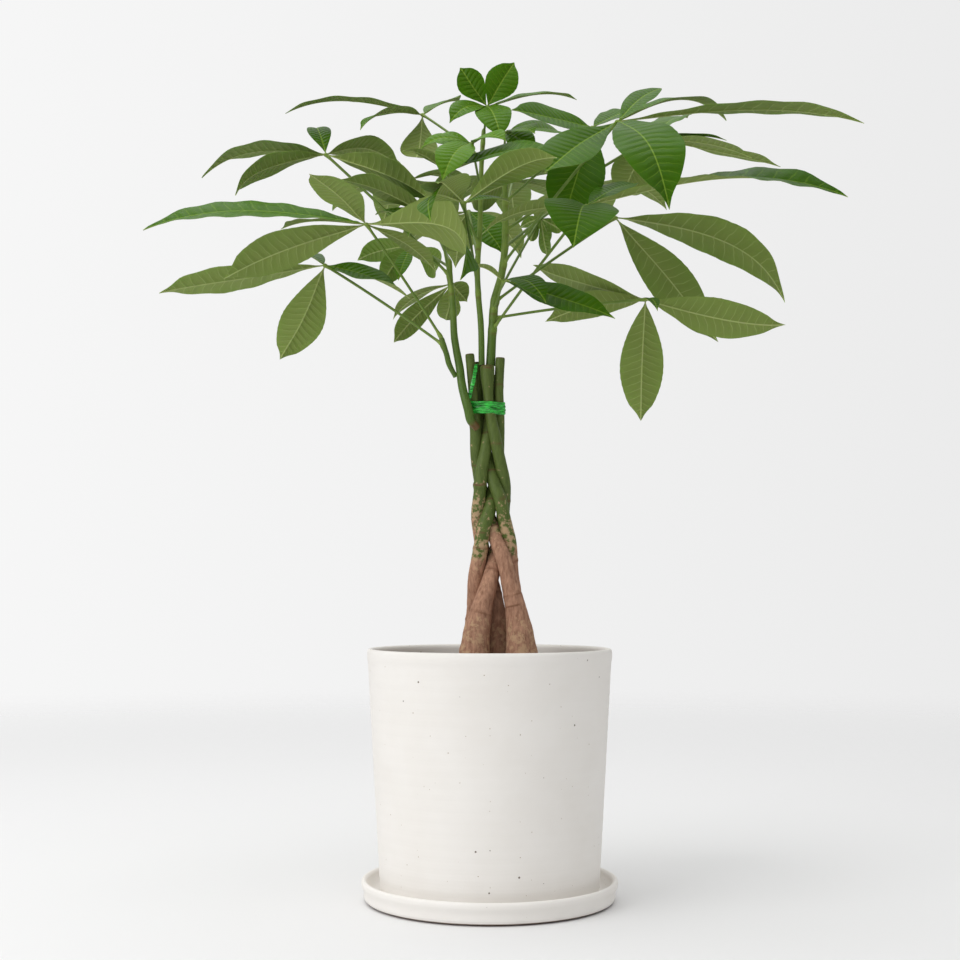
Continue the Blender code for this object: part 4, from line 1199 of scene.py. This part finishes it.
def leaf_skin(name, deep, light, vein, sheen, raised):
    """One face of a leaf: two greens in soft clouds, veins, midrib, and quilting between veins."""
    material, tree, shader = start_finish(name, IOR=1.45)
    shader.inputs["Specular IOR Level"].default_value = sheen[2]
    shader.inputs["Subsurface Weight"].default_value = 0.25
    shader.inputs["Subsurface Radius"].default_value = (0.55, 1.0, 0.18)
    shader.inputs["Subsurface Scale"].default_value = 1.2 * MM
    place = add_node(tree, "ShaderNodeTexCoord").outputs["Object"]
    measure = add_node(tree, "ShaderNodeSeparateXYZ", {
        "Vector": add_node(tree, "ShaderNodeUVMap", uv_map="measure").outputs["UV"]})
    paint = add_node(tree, "ShaderNodeSeparateColor", {
        "Color": add_node(tree, "ShaderNodeAttribute", attribute_name="growth").outputs["Color"]})
    across = add_node(tree, "ShaderNodeMath", {0: measure.outputs["Y"]}, operation="ABSOLUTE")
    wobble = add_node(tree, "ShaderNodeTexNoise", {
        "Vector": place, "Scale": 1 / (11 * MM), "Detail": 1.0})
    nudged = add_node(tree, "ShaderNodeMath", {
        0: wobble.outputs["Fac"], 1: 0.5, 2: measure.outputs["X"]}, operation="MULTIPLY_ADD")
    beat = add_node(tree, "ShaderNodeMath", {0: nudged.outputs["Value"]}, operation="FRACT")
    off = add_node(tree, "ShaderNodeMath", {0: beat.outputs["Value"], 1: 0.5},
                   operation="SUBTRACT")
    apart = add_node(tree, "ShaderNodeMath", {0: off.outputs["Value"]}, operation="ABSOLUTE")
    side_vein = add_node(tree, "ShaderNodeMapRange", {
        "Value": apart.outputs["Value"], "From Min": VEIN_SHARE * 0.25, "From Max": VEIN_SHARE,
        "To Min": 1.0, "To Max": 0.0}, interpolation_type="SMOOTHSTEP")
    faint = add_node(tree, "ShaderNodeMapRange", {
        "Value": paint.outputs["Green"], "From Min": 0.45, "From Max": 0.95,
        "To Min": 1.0, "To Max": 0.25})
    side_veins = add_node(tree, "ShaderNodeMath", {
        0: side_vein.outputs["Result"], 1: faint.outputs["Result"]}, operation="MULTIPLY")
    thin_veins = add_node(tree, "ShaderNodeMath", {
        0: side_veins.outputs["Value"], 1: VEIN_COLOUR_SHARE}, operation="MULTIPLY")
    midrib = add_node(tree, "ShaderNodeMapRange", {
        "Value": across.outputs["Value"], "From Min": 0.25 * MIDRIB_WIDTH, "From Max": MIDRIB_WIDTH,
        "To Min": 1.0, "To Max": 0.0}, interpolation_type="SMOOTHSTEP")
    veins = add_node(tree, "ShaderNodeMath", {
        0: thin_veins.outputs["Value"], 1: midrib.outputs["Result"]}, operation="MAXIMUM")
    clouds = add_node(tree, "ShaderNodeTexNoise", {
        "Vector": place, "Scale": 1 / (38 * MM), "Detail": 3.0})
    mood = add_node(tree, "ShaderNodeMath", {
        0: clouds.outputs["Fac"], 1: 0.6, 2: paint.outputs["Blue"]}, operation="MULTIPLY_ADD")
    blade = add_node(tree, "ShaderNodeMix", {
        0: mood.outputs["Value"], 6: linear(deep), 7: linear(light)}, data_type="RGBA")
    young = add_node(tree, "ShaderNodeMix", {
        0: paint.outputs["Red"], 6: blade.outputs[2], 7: linear("5f8a1a")}, data_type="RGBA")
    veined = add_node(tree, "ShaderNodeMix", {
        0: veins.outputs["Value"], 6: young.outputs[2], 7: linear(vein)}, data_type="RGBA")
    tree.links.new(veined.outputs[2], shader.inputs["Base Color"])
    fine = add_node(tree, "ShaderNodeTexVoronoi", {
        "Vector": place, "Scale": 1 / (2.1 * MM)}, feature="DISTANCE_TO_EDGE")
    mesh_veins = add_node(tree, "ShaderNodeMapRange", {
        "Value": fine.outputs["Distance"], "From Max": 0.25, "To Max": 0.16})
    pillow = add_node(tree, "ShaderNodeMapRange", {
        "Value": apart.outputs["Value"], "From Max": 0.5, "To Min": 1.0 if raised else 0.0,
        "To Max": 0.0 if raised else 1.0}, interpolation_type="SMOOTHSTEP")
    relief = add_node(tree, "ShaderNodeMath", {
        0: pillow.outputs["Result"], 1: faint.outputs["Result"],
        2: mesh_veins.outputs["Result"]}, operation="MULTIPLY_ADD")
    bump = add_node(tree, "ShaderNodeBump", {
        "Height": relief.outputs["Value"], "Strength": 0.55, "Distance": 0.8 * MM})
    tree.links.new(bump.outputs["Normal"], shader.inputs["Normal"])
    shine = add_node(tree, "ShaderNodeMapRange", {
        "Value": clouds.outputs["Fac"], "From Min": 0.3, "From Max": 0.7,
        "To Min": sheen[0], "To Max": sheen[1]})
    tree.links.new(shine.outputs["Result"], shader.inputs["Roughness"])
    return material


upper_skin = leaf_skin(
    "waxy upper leaf skin", "2b5000", "4f7a02", "76962e", (0.32, 0.46, 0.13), False)
lower_skin = leaf_skin(
    "matte lower leaf skin", "6b7d34", "879750", "aab874", (0.55, 0.68, 0.25), True)
print("two leaf skins")

# %% [markdown]
# ## Leaves
#
# A leaflet starts as a short stalk, widens to its broadest a little past the middle, and ends
# in a drip tip. Its two halves fold up from the midrib like a shallow trough, its margin waves,
# and it droops under its own weight. Its midrib runs nearly straight at first and bends towards
# the tip. The blade is a ring skin too: each ring runs over the top face, round the thin edge
# and back under, so the leaf is a closed, paper-thin solid with a real rib below.

# %% Blade shape
BLADE_STATIONS = 38
HALF_COLUMNS = np.array((0.0, 0.05, 0.12, 0.25, 0.42, 0.60, 0.78, 0.92, 1.0))
BLADE_FOLD = 20.0
BLADE_THICKNESS = 0.42 * MM
EDGE_THICKNESS = 0.22 * MM
BLADE_LEAN = (1.02, 1.42)
BLADE_FULLNESS = (0.72, 0.98)
SWAY_SHARE = 0.022
RIB_DEPTH = 1.0 * MM
STALK_SHARE = 0.045
BOW_SCALE = 2.6


def blade_width(station, lean=1.18, fullness=0.88):
    """Width at a station as a share of the widest: stalk, wedge, oval, then a drip tip.

    A greater lean puts the widest place nearer the tip; a lower fullness makes a blunter oval.
    """
    along = np.clip((station - STALK_SHARE) / (1.0 - STALK_SHARE), 0.0, 1.0)
    oval = np.sin(math.pi * along ** lean) ** fullness
    drip = 1.0 - 0.45 * smooth_step(0.84, 0.97, along)
    return 0.035 * (1.0 - along) + 0.97 * oval * drip


def leaflet_skin(skins, knob, row, number, youth, tone):
    """Add one leaflet's closed blade to the skins of its leaf."""
    reach_mm, bow, width, roll, twist = row
    reach = np.array(reach_mm) * MM
    length = float(np.linalg.norm(reach))
    axis = reach / length
    luck = np.random.default_rng(number)
    station = np.linspace(0.004, 1.0, BLADE_STATIONS)
    turned = np.radians(roll + twist * station)
    hint = np.stack([np.zeros_like(turned), -np.sin(turned), np.cos(turned)], axis=1)
    upper = hint - axis * (hint @ axis)[:, None]
    upper /= np.linalg.norm(upper, axis=1)[:, None]
    lift = upper[0]
    sway = luck.uniform(-SWAY_SHARE, SWAY_SHARE) * length * np.sin(math.pi * station) ** 2
    middle = (knob + reach * station[:, None]
              + lift * (bow * MM * BOW_SCALE * station * (1 - station ** 2))[:, None])
    along = reach + lift * (bow * MM * BOW_SCALE * (1 - 3 * station ** 2))[:, None]
    along /= np.linalg.norm(along, axis=1)[:, None]
    side = np.cross(along, upper)
    side /= np.linalg.norm(side, axis=1)[:, None]
    upper = np.cross(side, along)
    middle = middle + side * sway[:, None]

    spacing = max(4.5, length / MM / 17) * MM
    lean = luck.uniform(*BLADE_LEAN)
    fullness = luck.uniform(*BLADE_FULLNESS)
    half = width * MM / 2 * blade_width(station, lean, fullness)
    columns = np.concatenate((-HALF_COLUMNS[:0:-1], HALF_COLUMNS))
    reach_out = np.abs(columns)[None, :] * half[:, None]
    vein_count = (station[:, None] * length - 0.55 * reach_out
                  + 0.22 * reach_out ** 2 / (width * MM / 2)) / spacing
    blade_part = smooth_step(STALK_SHARE, STALK_SHARE + 0.10, station)
    scallop = 1.0 + 0.009 * np.cos(2 * math.pi * vein_count) * np.abs(columns) ** 3
    sideways = columns[None, :] * half[:, None] * scallop
    fold = math.radians(BLADE_FOLD) * (1.10 - 0.35 * np.sin(math.pi * station))[:, None]
    wave_length = luck.uniform(30, 46) * MM
    phase = np.where(columns < 0, luck.uniform(0, 6.28), luck.uniform(0, 6.28))[None, :]
    wave = np.sin(2 * math.pi * station[:, None] * length / wave_length + phase)
    wave = wave * 0.016 * width * MM * np.abs(columns) ** 2.2 * blade_part[:, None]
    wave = wave * (1.0 - 0.5 * smooth_step(0.85, 1.0, station))[:, None]
    raised = reach_out * np.sin(fold) - 0.16 * reach_out ** 2 / (width * MM / 2) + wave
    sideways = sideways * np.cos(fold)
    face = (middle[:, None, :] + side[:, None, :] * sideways[:, :, None]
            + upper[:, None, :] * raised[:, :, None])

    stalk = (1.0 - blade_part)[:, None]
    thick = EDGE_THICKNESS + (BLADE_THICKNESS - EDGE_THICKNESS) * (1 - columns ** 2)[None, :]
    thick = thick + stalk * 1.0 * MM * (1 - columns ** 2)[None, :]
    taper = (1.0 - 0.75 * station)[:, None]
    rib = RIB_DEPTH * taper * np.exp(-(reach_out / (0.85 * MM)) ** 2) * (1.0 - stalk)
    groove = 0.18 * MM * taper * np.exp(-(reach_out / (0.7 * MM)) ** 2) * (1.0 - stalk)
    top = face + upper[:, None, :] * (thick / 2 - groove)[:, :, None]
    under = face - upper[:, None, :] * (thick / 2 + rib)[:, :, None]
    rings = np.concatenate((top, under[:, ::-1, :]), axis=1)

    measure_side = np.stack([vein_count, columns[None, :] * half[:, None] / MM], axis=2)
    measure = np.concatenate((measure_side, measure_side[:, ::-1, :]), axis=1)
    edge_share = np.broadcast_to(np.abs(columns)[None, :], vein_count.shape)
    edge_share = np.concatenate((edge_share, edge_share[:, ::-1]), axis=1)
    paint = np.stack([np.full_like(edge_share, youth), edge_share,
                      np.full_like(edge_share, tone + luck.uniform(-0.08, 0.08))], axis=2)
    count = len(columns)
    finish = [1] * (count - 1) + [2] * (count + 1)
    skins.add(rings, finish=finish, measure=measure, paint=paint)


print("widest at", float(np.linspace(0, 1, 101)[np.argmax(blade_width(np.linspace(0, 1, 101)))]))

# %% Leaf stalks and whole leaves
STALK_ARCH = 0.012
STALK_RINGS = 44
STALK_CORNERS = 12
YOUNG_LEAVES = {"leaf_young_bright": 0.65, "leaf_right_bright": 0.65, "leaf_crown": 0.12,
                "leaf_young_hanging": 0.35, "leaf_back_left": 0.35}


def stalk_skin(skins, shoot, height, knob):
    """Leaf stalk: thin and straight, swollen where it leaves the shoot and at the knob."""
    tip_height = SHOOTS[shoot][0][-1][2]
    start, radius = shoot_at(shoot, min(height, tip_height - 1.0))
    span = knob - start
    length = float(np.linalg.norm(span))
    share = np.linspace(0.0, 1.0, STALK_RINGS)
    path = start + span * share[:, None]
    path[:, 2] += length * STALK_ARCH * 4 * share * (1 - share)
    place = share * length / MM
    from_skin = place - radius / MM
    slim = 0.95 + 0.0024 * length / MM
    radii = slim + 0.85 * np.exp(-(np.maximum(from_skin, 0.0) / 3.2) ** 2)
    radii += 0.75 * np.exp(-((length / MM - place) / 4.0) ** 2)
    rings = tube_rings(path, np.repeat(radii[:, None] * MM, STALK_CORNERS, axis=1))
    youth = 0.45 + 0.5 * np.exp(-(from_skin / 6.0) ** 2)
    youth += 0.4 * np.exp(-((length / MM - place) / 9.0) ** 2)
    paint = np.zeros((STALK_RINGS, STALK_CORNERS, 3))
    paint[:, :, 0] = np.clip(youth, 0, 1)[:, None]
    skins.add(rings, finish=0, paint=paint)


def knob_skin(skins, knob):
    """The small swollen knob where the leaflets meet."""
    rings = []
    for latitude in np.linspace(-0.48, 0.48, 9) * math.pi:
        rings.append([knob + np.array((math.cos(latitude) * math.cos(a),
                                       math.cos(latitude) * math.sin(a),
                                       0.8 * math.sin(latitude))) * 2.3 * MM
                      for a in np.linspace(0, 2 * math.pi, 14, endpoint=False)])
    skins.add(rings, finish=0, paint=(0.9, 0.0, 0.0))


def make_leaf(name, number):
    """One whole palmate leaf: stalk, knob and leaflets."""
    shoot, height, knob_mm, rows = LEAVES[name]
    knob = np.array(knob_mm) * MM
    skins = Skins()
    stalk_skin(skins, shoot, height, knob)
    knob_skin(skins, knob)
    tone = 0.20 + 0.12 * math.sin(number * 2.3)
    for place, row in enumerate(rows):
        leaflet_skin(skins, knob, row, 100 * number + place, YOUNG_LEAVES.get(name, 0.0), tone)
    piece = skins.make(f"{name}_fresh", [stem_skin, upper_skin, lower_skin], sharp=70.0)
    dress(piece, name)
    return piece


for number, leaf_name in enumerate(LEAVES):
    make_leaf(leaf_name, number)
print(len(LEAVES), "leaves made")
